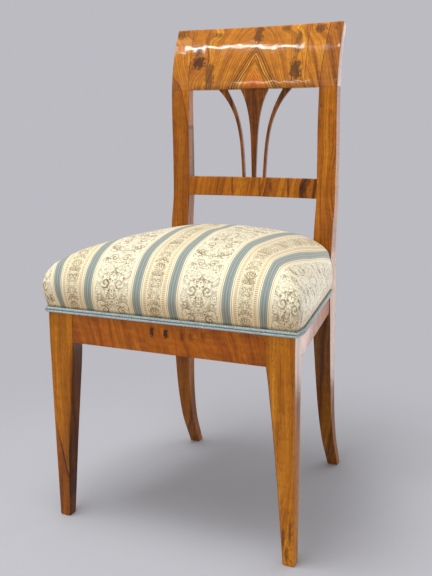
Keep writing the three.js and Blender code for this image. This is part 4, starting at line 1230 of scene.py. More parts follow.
# %% [markdown]
# Fabric keeps its own measure. A stripe stays 15 mm wide however the seat curves. So each point
# gets its place on the flat cloth: its plan place, plus the extra length that the cloth travels
# down the slope, laid off in the direction in which that slope falls. The shoulders of the sides
# get less of it, because the cloth was pulled down there on the cross. The pattern reads this
# attribute instead of a place in space.
#
# Then the cover is cut round the posts, as an upholsterer cuts and tucks it, and pressed in a
# little there. The front corners get the small folded pleat that the square cloth needs.

# %% Seat cover
corner_blur, crown_blur = 22.0, 105.0
upper_ease, lower_ease = 0.1, 0.8
post_press, post_press_reach, press_down = 3.0, 14, 0.6
fold_depth, fold_width, fold_heights = 2.2, 4.5, (406, 420, 425, 455)
cut_gap = 0.4
seat_back, beside_posts = 0.1, 0.118


def cloth_places(rings):
    """Place on the flat cloth of every ring point, in millimetres, from the crown down."""
    levels = len(rings)
    crown = np.broadcast_to([*seat_middle, rings[-1, :, 2].max()], rings.shape[1:])
    upper = np.concatenate([rings[1:], crown[None]])
    steps = (rings - upper)[::-1]
    plan = spread(moved_plan(4.0))
    gained = np.zeros(rings.shape[1:-1] + (2,))
    places = np.empty((levels, rings.shape[1], 2))
    for k, step in enumerate(steps):
        roundness = corner_blur + (crown_blur - corner_blur) * (1 - k / levels)
        side_ease = upper_ease + (lower_ease - upper_ease) * float(eased(k / levels, 0.5, 0.7))
        ring = blurred(plan, roundness)
        along = np.roll(ring, -1, axis=0) - np.roll(ring, 1, axis=0)
        fall = np.stack([along[:, 1], -along[:, 0]], 1)
        fall /= np.linalg.norm(fall, axis=1)[:, None]
        outward = (step[:, :2] * fall).sum(axis=1)
        extra = np.hypot(step[:, 2], outward) - outward
        gained = gained + extra[:, None] * fall * (side_ease, 1)
        places[levels - 1 - k] = rings[levels - 1 - k, :, :2] + gained
    return places


def tucked(rings):
    """Rings pressed in beside the posts and folded at the front corners."""
    made = rings.copy()
    out = made[..., :2] - seat_middle
    out /= np.maximum(1, np.linalg.norm(out, axis=2))[..., None]
    aside, back, z = np.abs(rings[..., 0]), rings[..., 1], rings[..., 2]
    past_side = np.maximum(0, post_inside - aside)
    past_front = np.maximum(0, front_line(z) - back)
    near = np.hypot(past_side, past_front)
    press = post_press * np.clip(1 - near / post_press_reach, 0, 1) ** 2
    press *= eased(z, hem_top, hem_top + post_press_reach)
    fold_place = leg_outside - aside - (back - seat_plan[0, 1])
    fold = fold_depth * np.exp(-0.5 * (fold_place / fold_width) ** 2) * (back < -190)
    fold *= eased(z, *fold_heights[:2]) * (1 - eased(z, *fold_heights[2:]))
    made[..., :2] -= out * (press + fold)[..., None]
    made[..., 2] -= press * press_down
    return made


def cut_round_posts(work):
    """Removes the cloth where the posts stand."""
    notch = front_line(hem_low) - cut_gap
    for vertex in work.verts:
        vertex.co.y -= float(front_line(vertex.co.z / mm) - front_line(hem_low)) * mm
    for side in (-1, 1):
        for place, normal, band in (
            ((0, notch * mm, 0), (0, 1, 0), beside_posts),
            ((side * (post_inside - cut_gap) * mm, 0, 0), (1, 0, 0), 0.0),
        ):
            near = [f for f in work.faces if f.calc_center_median().x * side > band
                    and f.calc_center_median().y > seat_back]
            parts = {v for f in near for v in f.verts} | {e for f in near for e in f.edges}
            bmesh.ops.bisect_plane(
                work, geom=list(parts | set(near)), plane_co=place, plane_no=normal, dist=1e-6,
            )
    gone = []
    for face in work.faces:
        middle = face.calc_center_median()
        if abs(middle.x) > (post_inside - cut_gap) * mm and middle.y > notch * mm:
            gone.append(face)
    bmesh.ops.delete(work, geom=gone, context="FACES")
    for vertex in work.verts:
        vertex.co.y += float(front_line(vertex.co.z / mm) - front_line(hem_low)) * mm


def cloth_shell(name, rings, places, thickness):
    """A cloth over the seat, cut round the posts, with its flat places kept on its points."""
    levels, count = rings.shape[:2]
    index, beside, faces = ring_faces(levels, count)
    top = levels * count
    faces += [[top, a, b] for a, b in zip(index[-1], beside[-1])]
    crown = np.array([*seat_middle, rings[-1, :, 2].max() + 0.05])
    made = mesh_object(name, np.vstack([rings.reshape(-1, 3), crown]), faces, crease=180)
    flat = made.data.attributes.new("cloth", "FLOAT_VECTOR", "POINT")
    spots = np.vstack([places.reshape(-1, 2), seat_middle]) * mm
    flat.data.foreach_set("vector", np.column_stack([spots, np.zeros(len(spots))]).ravel())
    work = bmesh.new()
    work.from_mesh(made.data)
    cut_round_posts(work)
    work.to_mesh(made.data)
    work.free()
    wall = made.modifiers.new("cloth thickness", "SOLIDIFY")
    wall.thickness = thickness * mm
    wall.offset = -1
    smooth = made.modifiers.new("soft", "SUBSURF")
    smooth.levels = smooth.render_levels = 1
    made = finished(made, name)
    made.data.shade_smooth()
    return made


flat_places = cloth_places(cover_rings)
cover = cloth_shell("striped_cover", tucked(cover_rings), flat_places, 1.3)
stand_in(cover, "satin", "seat_cover")
cloth_span = np.round(np.ptp(flat_places.reshape(-1, 2), axis=0))
print("cloth spans", cloth_span, "mm, faces", len(cover.data.polygons))

# %% [markdown]
# ## Striped satin
#
# The cover is a woven furnishing satin of the Empire kind. A blue-grey stripe 15 mm wide stands
# between bands of cream, a narrow one of 51 mm and a wide one of 80 mm, so the pattern repeats
# every 161 mm. The narrow bands have a beaded border and scrolls, and the wide ones have spirals
# among winding leaves. Both are mirrored about the middle of their band, as such patterns are.
# The ornament is drawn by weaving tan and olive threads over the cream.
#
# An image would be the usual way, but a pattern that is written as distances stays sharp at every
# size. `WRAP` repeats a distance, and a spiral is a radius compared with an angle. Satin has long
# shiny floats, so the cream is glossier than the ornament, and a sheen lifts its edges.

# %% Satin pattern
stripe_width = 15.0
repeat = 161.0
motif_repeat = 78.0
stripe_middles, narrow_middle, wide_middle = (-205.5, -139.5), -172.5, -92.0
border_lines = ((9.8, 0.7, 0.8), (13.0, 0.4, 0.45))  # place, half width, strength
bead_place, bead_spacing = 17.0, 3.2
band_limit = 240
cream, narrow_cream, tan_thread, olive_thread = "#fdf4d6", "#efdcb0", "#c4a06a", "#85704a"
blue_hollow, blue_rib = "#828d88", "#a3aba3"


def ornament_lines(tree, across, down, spirals):
    """Line strength from spirals. Each has its middle, reach, pitch and turn, in millimetres."""
    total = None
    for x, y, reach, pitch, turn in spirals:
        dx = node(tree, "Math", {0: across, 1: x}, operation="SUBTRACT")
        dy = node(tree, "Math", {0: down, 1: y}, operation="SUBTRACT")
        spot = node(tree, "CombineXYZ", {0: dx, 1: dy})
        radius = node(tree, "VectorMath", {0: spot}, operation="LENGTH")
        angle = node(tree, "Math", {0: dy, 1: dx}, operation="ARCTAN2")
        wound = node(tree, "Math", {0: (radius, "Value"), 1: 1 / pitch}, operation="MULTIPLY")
        curl = node(
            tree, "Math", {0: angle, 1: turn / (2 * math.pi), 2: wound}, operation="MULTIPLY_ADD",
        )
        part = node(tree, "Math", {0: curl}, operation="FRACT")
        line = drawn_line(tree, part, 0.5, 0.24, 0.12)
        inside = node(
            tree, "MapRange",
            {"Value": (radius, "Value"), "From Min": reach, "From Max": reach * 0.9},
        )
        kept = node(tree, "Math", {0: line, 1: inside}, operation="MULTIPLY")
        if total is not None:
            kept = node(tree, "Math", {0: total, 1: kept}, operation="MAXIMUM")
        total = kept
    return total


satin, tree = blank_material("Striped furnishing satin, cotton and silk")
flat_place = node(tree, "Attribute", attribute_name="cloth")
in_mm = node(tree, "VectorMath", {0: (flat_place, "Vector"), "Scale": 1000.0}, operation="SCALE")
parts = node(tree, "SeparateXYZ", {0: in_mm})
distances = []
for middle in (*stripe_middles, narrow_middle, wide_middle):
    from_middle = node(tree, "Math", {0: (parts, 0), 1: middle}, operation="SUBTRACT")
    wrapped = node(tree, "Math", {0: from_middle, 1: repeat / 2, 2: -repeat / 2}, operation="WRAP")
    distances.append(node(tree, "Math", {0: wrapped}, operation="ABSOLUTE"))
stripe_near = node(tree, "Math", {0: distances[0], 1: distances[1]}, operation="MINIMUM")
narrow, wide = distances[2], distances[3]
stripe_all = node(
    tree, "MapRange",
    {"Value": stripe_near, "From Min": stripe_width / 2 + 0.4, "From Max": stripe_width / 2 - 0.4},
)
from_centre = node(tree, "Math", {0: (parts, 0)}, operation="ABSOLUTE")
on_seat = node(tree, "Math", {0: from_centre, 1: band_limit}, operation="LESS_THAN")
stripe = node(tree, "Math", {0: stripe_all, 1: on_seat}, operation="MULTIPLY")

lines = [
    drawn_line(tree, stripe_near, at, half + 0.35, half - 0.2, strength)
    for at, half, strength in border_lines
]
edge_pair = node(tree, "Math", {0: lines[0], 1: lines[1]}, operation="MAXIMUM")
edge_lines = node(tree, "Math", {0: edge_pair, 1: on_seat}, operation="MULTIPLY")

bead_turn = node(tree, "Math", {0: (parts, 1), 1: 2 * math.pi / bead_spacing}, operation="MULTIPLY")
bead_wave = node(tree, "Math", {0: bead_turn}, operation="SINE")
bead = node(
    tree, "MapRange", {"Value": bead_wave, "From Min": -0.4, "From Max": 0.4, "To Max": 0.9},
)
bead_row = drawn_line(tree, narrow, bead_place, 2.6, 2.0)
beads = node(tree, "Math", {0: bead, 1: bead_row}, operation="MULTIPLY")

narrow_down = node(
    tree, "Math", {0: (parts, 1), 1: motif_repeat / 2, 2: -motif_repeat / 2}, operation="WRAP",
)
scrolls = ornament_lines(tree, narrow, narrow_down, (
    (6.0, 0, 6.6, 5.0, 1), (5.6, 14, 5.4, 4.0, -1), (5.2, -14, 5.2, 4.0, -1),
    (4.6, 27, 4.8, 3.8, 1),
))
wide_down = node(tree, "Math", {0: (parts, 1), 1: motif_repeat, 2: -motif_repeat}, operation="WRAP")
arabesque = ornament_lines(tree, wide, wide_down, (
    (17, 6, 10, 7.0, 1), (23, -22, 8.5, 5.6, 1), (24, 30, 8, 5.6, -1),
    (14, 54, 10, 6.8, -1), (11, -52, 9, 6.0, 1),
))


def tendrils(tree, across, down, period, size, thick, reach):
    """Winding lines that repeat along the band, no farther out than a reach, in millimetres."""
    turn = node(tree, "Math", {0: down, 1: 2 * math.pi / period}, operation="MULTIPLY")
    waves = [node(tree, "Math", {0: turn}, operation=kind) for kind in ("SINE", "COSINE")]
    round_place = node(tree, "CombineXYZ", {0: across, 1: waves[0], 2: waves[1]})
    spin = period / (2 * math.pi) / size
    sized = node(
        tree, "VectorMath", {0: round_place, 1: (1 / size, spin, spin)}, operation="MULTIPLY",
    )
    winding = node(
        tree, "TexNoise", {"Vector": sized, "Scale": 1.0, "Detail": 0.0, "Distortion": 1.1},
    )
    line = drawn_line(tree, winding, 0.5, thick, thick / 2)
    spread_out = node(tree, "TexNoise", {"Vector": sized, "Scale": size / 17, "Detail": 0.0})
    kept = node(tree, "MapRange", {"Value": spread_out, "From Min": 0.42, "From Max": 0.48})
    area = node(tree, "Math", {0: across, 1: reach}, operation="LESS_THAN")
    drawn_there = node(tree, "Math", {0: line, 1: area}, operation="MULTIPLY")
    return drawn_there, node(tree, "Math", {0: drawn_there, 1: kept}, operation="MULTIPLY")


wide_reach = node(tree, "Math", {0: on_seat, 1: -40.0, 2: 72.0}, operation="MULTIPLY_ADD")
wide_all, wide_foliage = tendrils(tree, wide, wide_down, 2 * motif_repeat, 5.2, 0.105, wide_reach)
faint_foliage = node(tree, "Math", {0: wide_all, 1: 0.6}, operation="MULTIPLY")
both_foliage = node(tree, "Math", {0: wide_foliage, 1: faint_foliage}, operation="MAXIMUM")
wide_drawn = node(tree, "Math", {0: arabesque, 1: both_foliage}, operation="MAXIMUM")
narrow_foliage = tendrils(tree, narrow, narrow_down, motif_repeat, 3.4, 0.11, 12.5)[0]
fine_narrow = node(tree, "Math", {0: narrow_foliage, 1: 0.85}, operation="MULTIPLY")
narrow_drawn = node(tree, "Math", {0: scrolls, 1: fine_narrow}, operation="MAXIMUM")
drawn = node(tree, "Math", {0: wide_drawn, 1: narrow_drawn}, operation="MAXIMUM")

pen_place = node(tree, "VectorMath", {0: in_mm, "Scale": 0.055}, operation="SCALE")
pen = node(tree, "TexNoise", {"Vector": pen_place, "Scale": 1.0, "Detail": 2.0})
pen_depth = node(
    tree, "MapRange", {"Value": pen, "From Min": 0.38, "From Max": 0.62, "To Min": 0.6},
)
inked = node(tree, "Math", {0: drawn, 1: pen_depth}, operation="MULTIPLY")
ground_tone = node(
    tree, "MapRange", {"Value": narrow, "From Min": 20.5, "From Max": 19.5, "To Max": 0.45},
)
ground = node(
    tree, "Mix", {0: ground_tone, 6: linear(cream), 7: linear(narrow_cream)}, data_type="RGBA",
)
tan = node(tree, "Math", {0: edge_lines, 1: beads}, operation="MAXIMUM")
bordered = node(tree, "Mix", {0: tan, 6: (ground, 2), 7: linear(tan_thread)}, data_type="RGBA")
figured = node(tree, "Mix", {0: inked, 6: (bordered, 2), 7: linear(olive_thread)}, data_type="RGBA")

rib_turn = node(tree, "Math", {0: stripe_near, 1: 2 * math.pi / 5.0}, operation="MULTIPLY")
rib_wave = node(tree, "Math", {0: rib_turn}, operation="COSINE")
rib = node(tree, "MapRange", {"Value": rib_wave, "From Min": -1.0, "From Max": 1.0})
blue = node(tree, "Mix", {0: rib, 6: linear(blue_hollow), 7: linear(blue_rib)}, data_type="RGBA")
striped = node(tree, "Mix", {0: stripe, 6: (figured, 2), 7: (blue, 2)}, data_type="RGBA")
# Painted shade with a painted warm reflection from the wood: the cover grows darker and warmer
# towards the hem.
heights = node(tree, "TexCoord")
height = node(tree, "SeparateXYZ", {0: (heights, "Object")})
low_painted_shade = node(
    tree, "MapRange",
    {"Value": (height, 2), "From Min": 0.452, "From Max": 0.398, "To Max": 0.75},
    interpolation_type="SMOOTHSTEP",
)
warm_painted_shade = node(
    tree, "Mix", {0: low_painted_shade, 6: (striped, 2), 7: linear("#f0d9bb")}, data_type="RGBA",
    blend_type="MULTIPLY",
)
# Painted shadow: a dark band along the hem, where the cover bulges over the braid.
hem_painted_shadow = node(
    tree, "MapRange", {"Value": (height, 2), "From Min": 0.4025, "From Max": 0.3985, "To Max": 0.7},
)
colour = node(
    tree, "Mix", {0: hem_painted_shadow, 6: (warm_painted_shade, 2), 7: linear("#8f9088")}, data_type="RGBA",
    blend_type="MULTIPLY",
)

thread_place = node(tree, "VectorMath", {0: in_mm, "Scale": 1 / 0.9}, operation="SCALE")
warp, weft = (
    node(
        tree, "TexWave", {"Vector": thread_place, "Scale": 0.5, "Distortion": 0.4},
        bands_direction=way,
    )
    for way in "XY"
)
weave = node(tree, "Math", {0: (warp, "Fac"), 1: (weft, "Fac")}, operation="MULTIPLY")
raised = node(tree, "Math", {0: drawn, 1: 0.6, 2: weave}, operation="MULTIPLY_ADD")
raised_lines = node(tree, "Math", {0: stripe, 1: 0.5, 2: raised}, operation="MULTIPLY_ADD")
fabric_bump = node(tree, "Bump", {"Strength": 0.3, "Distance": 0.5 * mm, "Height": raised_lines})
dull_parts = node(tree, "Math", {0: stripe, 1: drawn}, operation="MAXIMUM")
gloss = node(tree, "MapRange", {"Value": dull_parts, "To Min": 0.36, "To Max": 0.6})
cloth = node(tree, "BsdfPrincipled", {
    "Base Color": (colour, 2), "Roughness": gloss, "Specular IOR Level": 0.5, "Normal": fabric_bump,
    "Sheen Weight": 0.25, "Sheen Roughness": 0.4, "Sheen Tint": linear("#fff6e0"),
})
node(tree, "OutputMaterial", {"Surface": cloth})
dressed(satin, cover)
print("finished:", satin.name, "with", len(tree.nodes), "nodes")

# %% [markdown]
# ## Hidden stuffing and hessian
#
# Under the satin lies a pad of curled horsehair, and under that the hessian, an open jute cloth
# over the springs. Both show only from below, or when a restorer opens the seat. The pad is a
# merged copy of the frame's solid, drawn in so that it stays under the cover, and its hair is a
# bump in its finish. The hessian is a coarse plain weave with threads 1.6 mm apart.

# %% Stuffing and hessian
def drawn_in(name, node_name, inward):
    """A merged, smoothed copy of a CAD solid, drawn in along its normals, but not underneath."""
    piece = plain_copy(node_name)
    work = bmesh.new()
    work.from_mesh(piece.data)
    bmesh.ops.triangulate(work, faces=work.faces)
    work.normal_update()
    for vertex, normal in [(v, v.normal.copy()) for v in work.verts]:
        vertex.co -= normal * inward * mm * float(normal.z > -0.3)
    work.to_mesh(piece.data)
    work.free()
    smooth = piece.modifiers.new("soft", "SUBSURF")
    smooth.levels = smooth.render_levels = 1
    piece = finished(piece, name)
    piece.data.shade_smooth()
    return piece


def woven_cloth(name, dark, pale, pitch, depth):
    """A plain weave of round yarns, one pitch apart in millimetres, over a piece that lies flat."""
    material, tree = blank_material(name)
    place = node(tree, "TexCoord"), "Object"
    across = 1 / (pitch * mm)
    grid = node(tree, "Mapping", {"Vector": place, "Scale": (across, across, 0)})
    check = node(tree, "TexChecker", {"Vector": grid, "Scale": 1.0})
    warp, weft = (
        node(
            tree, "TexWave", {"Vector": grid, "Scale": 0.3142, "Distortion": 0.3},
            bands_direction=way,
        )
        for way in "XY"
    )
    yarns = node(
        tree, "Mix", {0: (check, "Fac"), 2: (warp, "Fac"), 3: (weft, "Fac")}, data_type="FLOAT",
    )
    slub = node(tree, "TexNoise", {"Vector": place, "Scale": 120.0, "Detail": 3.0})
    mixed = node(tree, "Math", {0: yarns, 1: slub}, operation="MULTIPLY")
    shade = node(tree, "MapRange", {"Value": mixed, "From Min": 0.05, "From Max": 0.45})
    colour = node(tree, "Mix", {0: shade, 6: linear(dark), 7: linear(pale)}, data_type="RGBA")
    bump = node(tree, "Bump", {"Strength": 0.6, "Distance": depth * mm, "Height": yarns})
    cloth = node(tree, "BsdfPrincipled", {
        "Base Color": (colour, 2), "Roughness": 0.95, "Specular IOR Level": 0.2, "Normal": bump,
        "Sheen Weight": 0.2, "Sheen Roughness": 0.6,
    })
    node(tree, "OutputMaterial", {"Surface": cloth})
    return material


pad_room = 12.0

pad = drawn_in("horsehair_pad", "seat_stuffing", pad_room)
stand_in(pad, "stuffing", "seat_stuffing")

hair, tree = blank_material("Curled horsehair")
place = node(tree, "TexCoord"), "Object"
tangle = node(tree, "TexNoise", {"Vector": place, "Scale": 190.0, "Detail": 6.0, "Distortion": 3.0})
tone = node(tree, "ValToRGB", {0: tangle})
set_tones(tone, ("#1f1710", "#6b5843"), 0.4, 0.62)
bump = node(tree, "Bump", {"Strength": 0.8, "Distance": 1.5 * mm, "Height": tangle})
fibre = node(tree, "BsdfPrincipled", {
    "Base Color": tone, "Roughness": 0.8, "Specular IOR Level": 0.3, "Normal": bump,
})
node(tree, "OutputMaterial", {"Surface": fibre})
dressed(hair, pad)

canvas = drawn_in("spring_hessian", "hessian", 0)
stand_in(canvas, "hessian", "hessian")
low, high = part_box("hessian")
dressed(woven_cloth("Hessian, unbleached jute", "#6f5e40", "#c2ae84", 1.6, 0.5), canvas)

# %% [markdown]
# ## Webbing
#
# Six straps of jute webbing, 50 mm wide, carry the springs, woven over and under each other and
# stretched tight with a lever. Their weave is herringbone: diagonal ribs that turn back every
# 6 mm or so. The frame's straps have the right shape, so they are softened copies with that weave.

# %% Webbing
def webbing(name, lengthwise):
    """Herringbone jute webbing. Lengthwise is 0 for straps along X and 1 for straps along Y."""
    material, tree = blank_material(name)
    place = node(tree, "TexCoord"), "Object"
    parts = node(tree, "SeparateXYZ", {0: place})
    across, along = (parts, 1 - lengthwise), (parts, lengthwise)
    fold = node(tree, "Math", {0: across, 1: 6.2 * mm}, operation="PINGPONG")
    slant = node(tree, "Math", {0: fold, 1: along}, operation="ADD")
    turn = node(tree, "Math", {0: slant, 1: 2 * math.pi / (2.4 * mm)}, operation="MULTIPLY")
    rib = node(tree, "Math", {0: turn}, operation="SINE")
    shade = node(tree, "MapRange", {"Value": rib, "From Min": -1.0, "From Max": 1.0})
    worn = node(tree, "TexNoise", {"Vector": place, "Scale": 60.0, "Detail": 4.0})
    mixed = node(tree, "Math", {0: shade, 1: worn}, operation="MULTIPLY")
    colour = node(
        tree, "Mix", {0: mixed, 6: linear("#77603a"), 7: linear("#cfb484")}, data_type="RGBA",
    )
    bump = node(tree, "Bump", {"Strength": 0.6, "Distance": 0.5 * mm, "Height": rib})
    jute = node(tree, "BsdfPrincipled", {
        "Base Color": (colour, 2), "Roughness": 0.9, "Specular IOR Level": 0.2, "Normal": bump,
        "Sheen Weight": 0.15, "Sheen Roughness": 0.6,
    })
    node(tree, "OutputMaterial", {"Surface": jute})
    return material


long_webbing = webbing("Jute webbing, herringbone, front to back", 1)
cross_webbing = webbing("Jute webbing, herringbone, side to side", 0)
straps = []
for number in (1, 2, 3):
    for way, finish in (("long", long_webbing), ("cross", cross_webbing)):
        straps.append(softened(f"{way}_strap_{number}", f"{way}_web_{number}", "webbing", 0.3))
        dressed(finish, straps[-1])
print("straps:", len(straps))

# %% [markdown]
# ## Coil springs, grown with Geometry Nodes
#
# Each spring is one steel wire, wound wide at both ends and narrow at the waist. A spring follows
# a rule, so a node tree can grow it: a straight line of points is wound round an axis, with its
# radius and height worked out from each point's share of the way up, and a small circle is swept
# along it. The sizes are named inputs, so one tree makes all five springs. The tree ends by
# realizing instances and setting the material, and its result is kept as a plain mesh.

# %% A helper that grows a piece from a tree
def new_tree(name, inputs):
    """A geometry tree with named inputs. Each has a name, the short name of a type, and a value."""
    tree = bpy.data.node_groups.new(name, "GeometryNodeTree")
    tree.interface.new_socket("Geometry", in_out="INPUT", socket_type="NodeSocketGeometry")
    for label, kind, value in inputs:
        socket = tree.interface.new_socket(label, in_out="INPUT", socket_type="NodeSocket" + kind)
        if value is not None:
            socket.default_value = value
    tree.interface.new_socket("Geometry", in_out="OUTPUT", socket_type="NodeSocketGeometry")
    return tree, node(tree, "NodeGroupInput")


def grown(name, tree, values, start=None):
    """A plain mesh from a geometry tree, with its inputs set by identifier before it first runs."""
    base = start or bpy.data.meshes.new(name + "_start")
    piece = bpy.data.objects.new(name, base)
    modifier = piece.modifiers.new("grow", "NODES")
    modifier.node_group = tree
    for item in tree.interface.items_tree:
        if item.in_out == "INPUT" and item.name in values:
            modifier[item.identifier] = values[item.name]
    scene.collection.objects.link(piece)
    return finished(piece, name)


def closing(tree, geometry, material_socket):
    """Ends a tree: real geometry, with its material."""
    real = node(tree, "GeometryNodeRealizeInstances", {"Geometry": geometry})
    coated = node(tree, "GeometryNodeSetMaterial", {"Geometry": real, "Material": material_socket})
    node(tree, "NodeGroupOutput", {"Geometry": coated})


spring_tree, given = new_tree("wound_spring", (
    ("Turns", "Float", 5.5), ("End Radius", "Float", 0.036),
    ("Waist Radius", "Float", 0.022), ("Height", "Float", 0.1),
    ("Wire Radius", "Float", 0.0017), ("Start Angle", "Float", 0.0),
    ("Foot", "Vector", (0, 0, 0)), ("Steps", "Int", 264),
    ("Material", "Material", None),
))
line = node(spring_tree, "GeometryNodeCurvePrimitiveLine")
points = node(spring_tree, "GeometryNodeResampleCurve", {"Curve": line, "Count": (given, "Steps")})
share = node(spring_tree, "GeometryNodeSplineParameter")
full_turn = node(spring_tree, "Math", {0: (share, "Factor"), 1: 2 * math.pi}, operation="MULTIPLY")
turned = node(
    spring_tree, "Math", {0: full_turn, 1: (given, "Turns"), 2: (given, "Start Angle")},
    operation="MULTIPLY_ADD",
)
cosine = node(spring_tree, "Math", {0: turned}, operation="COSINE")
sine = node(spring_tree, "Math", {0: turned}, operation="SINE")
centred = node(
    spring_tree, "Math", {0: (share, "Factor"), 1: 2.0, 2: -1.0}, operation="MULTIPLY_ADD",
)
squared = node(spring_tree, "Math", {0: centred, 1: centred}, operation="MULTIPLY")
flare = node(
    spring_tree, "MapRange",
    {"Value": squared, "To Min": (given, "Waist Radius"), "To Max": (given, "End Radius")},
)
swing = node(spring_tree, "Math", {0: full_turn}, operation="SINE")
risen = node(
    spring_tree, "Math", {0: swing, 1: -0.75 / (2 * math.pi), 2: (share, "Factor")},
    operation="MULTIPLY_ADD",
)
wound_x = node(spring_tree, "Math", {0: flare, 1: cosine}, operation="MULTIPLY")
wound_y = node(spring_tree, "Math", {0: flare, 1: sine}, operation="MULTIPLY")
wound_z = node(spring_tree, "Math", {0: risen, 1: (given, "Height")}, operation="MULTIPLY")
wound = node(spring_tree, "CombineXYZ", {0: wound_x, 1: wound_y, 2: wound_z})
stood = node(spring_tree, "VectorMath", {0: wound, 1: (given, "Foot")}, operation="ADD")
coil = node(spring_tree, "GeometryNodeSetPosition", {"Geometry": points, "Position": stood})
wire = node(
    spring_tree, "GeometryNodeCurvePrimitiveCircle",
    {"Resolution": 8, "Radius": (given, "Wire Radius")},
)
swept = node(
    spring_tree, "GeometryNodeCurveToMesh",
    {"Curve": coil, "Profile Curve": wire, "Fill Caps": True},
)
closing(spring_tree, swept, (given, "Material"))

# %% [markdown]
# Upholstery springs are drawn steel wire with a thin copper wash against rust, gone brown and dull
# with age. A metal keeps its default index of refraction, and its colour is its reflection.

# %% Springs
spring_steel, tree = blank_material("Coppered spring wire, dulled")
place = node(tree, "TexCoord"), "Object"
rust = node(tree, "TexNoise", {"Vector": place, "Scale": 75.0, "Detail": 4.0})
amount = node(tree, "MapRange", {"Value": rust, "From Min": 0.45, "From Max": 0.62})
colour = node(
    tree, "Mix", {0: amount, 6: linear("#a08468"), 7: linear("#5c4632")}, data_type="RGBA",
)
rough = node(tree, "MapRange", {"Value": rust, "To Min": 0.3, "To Max": 0.7})
steel = node(
    tree, "BsdfPrincipled", {"Base Color": (colour, 2), "Metallic": 1.0, "Roughness": rough},
)
node(tree, "OutputMaterial", {"Surface": steel})

wire_radius = 1.7 * mm
spring_places = ((-80, -120), (80, -120), (0, -32), (-80, 56), (80, 56))
for number, (x, y) in enumerate(spring_places, 1):
    low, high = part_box(f"spring_{number}")
    foot = (x * mm, y * mm, low.z + wire_radius)
    coil_piece = grown(f"coil_spring_{number}", spring_tree, {
        "Turns": 5.5, "End Radius": 0.036, "Waist Radius": 0.022,
        "Height": high.z - low.z - 2 * wire_radius, "Wire Radius": wire_radius,
        "Start Angle": math.pi / 2, "Foot": foot, "Steps": 200, "Material": spring_steel,
    })
    coil_piece.data.shade_smooth()
    stand_in(coil_piece, "spring_steel", f"spring_{number}")

# %% [markdown]
# ## Tacks and gimp pins
#
# Every strap end is held by five blued tacks with domed heads, and the braid by small pins with
# heads no bigger than a grain of rice. Both repeat, so one tree sets a head on each point of a
# cloud, turned to face the way that the point's own direction says. A fixed seed tips each head
# a little, because nobody drives tacks quite straight.

# %% Tacks
stud_tree, given = new_tree("driven_heads", (
    ("Head Radius", "Float", 0.003), ("Dome Share", "Float", 0.45),
    ("Tip", "Float", 0.12), ("Seed", "Int", 7), ("Material", "Material", None),
))
ball = node(
    stud_tree, "GeometryNodeMeshUVSphere",
    {"Segments": 10, "Rings": 5, "Radius": (given, "Head Radius")},
)
flat_scale = node(stud_tree, "CombineXYZ", {0: 1.0, 1: 1.0, 2: (given, "Dome Share")})
head = node(stud_tree, "GeometryNodeTransform", {"Geometry": (ball, "Mesh"), "Scale": flat_scale})
aim = node(stud_tree, "GeometryNodeInputNamedAttribute", {"Name": "aim"}, data_type="FLOAT_VECTOR")
tip_low = node(stud_tree, "Math", {0: (given, "Tip"), 1: -1.0}, operation="MULTIPLY")
tip_from = node(stud_tree, "CombineXYZ", {0: tip_low, 1: tip_low, 2: tip_low})
tip_to = node(stud_tree, "CombineXYZ", {0: (given, "Tip"), 1: (given, "Tip"), 2: (given, "Tip")})
tipped = node(
    stud_tree, "FunctionNodeRandomValue", {"Min": tip_from, "Max": tip_to, "Seed": (given, "Seed")},
    data_type="FLOAT_VECTOR",
)
leant = node(
    stud_tree, "VectorMath", {0: (aim, "Attribute"), 1: (tipped, "Value")}, operation="ADD",
)
facing = node(stud_tree, "FunctionNodeAlignRotationToVector", {"Vector": leant}, axis="Z")
set_heads = node(
    stud_tree, "GeometryNodeInstanceOnPoints",
    {"Points": (given, "Geometry"), "Instance": head, "Rotation": facing},
)
smoothed = node(stud_tree, "GeometryNodeSetShadeSmooth", {"Geometry": set_heads})
closing(stud_tree, smoothed, (given, "Material"))


def heads(name, spots, aims, radius, dome, tip, seed, material):
    """Heads on points in millimetres, each facing its own way."""
    cloud = bpy.data.meshes.new(name + "_points")
    cloud.from_pydata((np.array(spots) * mm).tolist(), [], [])
    aim_layer = cloud.attributes.new("aim", "FLOAT_VECTOR", "POINT")
    aim_layer.data.foreach_set("vector", np.array(aims, float).ravel())
    return grown(name, stud_tree, {
        "Head Radius": radius * mm, "Dome Share": dome, "Tip": tip, "Seed": seed,
        "Material": material,
    }, cloud)


blued, tree = blank_material("Blued steel")
place = node(tree, "TexCoord"), "Object"
spots = node(tree, "TexNoise", {"Vector": place, "Scale": 300.0, "Detail": 3.0})
colour = node(tree, "ValToRGB", {0: spots})
set_tones(colour, ("#23262c", "#5a4a3e"), 0, 1)
steel = node(tree, "BsdfPrincipled", {"Base Color": colour, "Metallic": 1.0, "Roughness": 0.42})
node(tree, "OutputMaterial", {"Surface": steel})

tack_rows = (-20, -10, 0, 10, 20)
strap_tacks = []
for number in (1, 2, 3):
    for prefix, lengthwise in (("long", 1), ("cross", 0)):
        strap = f"{prefix}_strap_{number}"
        low, high = (np.array(corner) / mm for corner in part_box(strap))
        middle = (low + high) / 2
        under = points_of(strap)
        for end, inward in ((low[lengthwise], 1), (high[lengthwise], -1)):
            near = under[np.abs(under[:, lengthwise] - end) < 1]
            for step, across in enumerate(tack_rows):
                spot = middle.copy()
                spot[lengthwise] = end + inward * (5.0 if step % 2 else 8.0)
                spot[1 - lengthwise] += across * 0.9
                spot[2] = near[:, 2].min() - 0.2
                strap_tacks.append(spot)
tacks = heads(
    "webbing_tacks", strap_tacks, [(0, 0, -1)] * len(strap_tacks), 3.0, 0.4, 0.12, 11, blued,
)
stand_in(tacks, "spring_steel")
print("tacks:", len(strap_tacks))

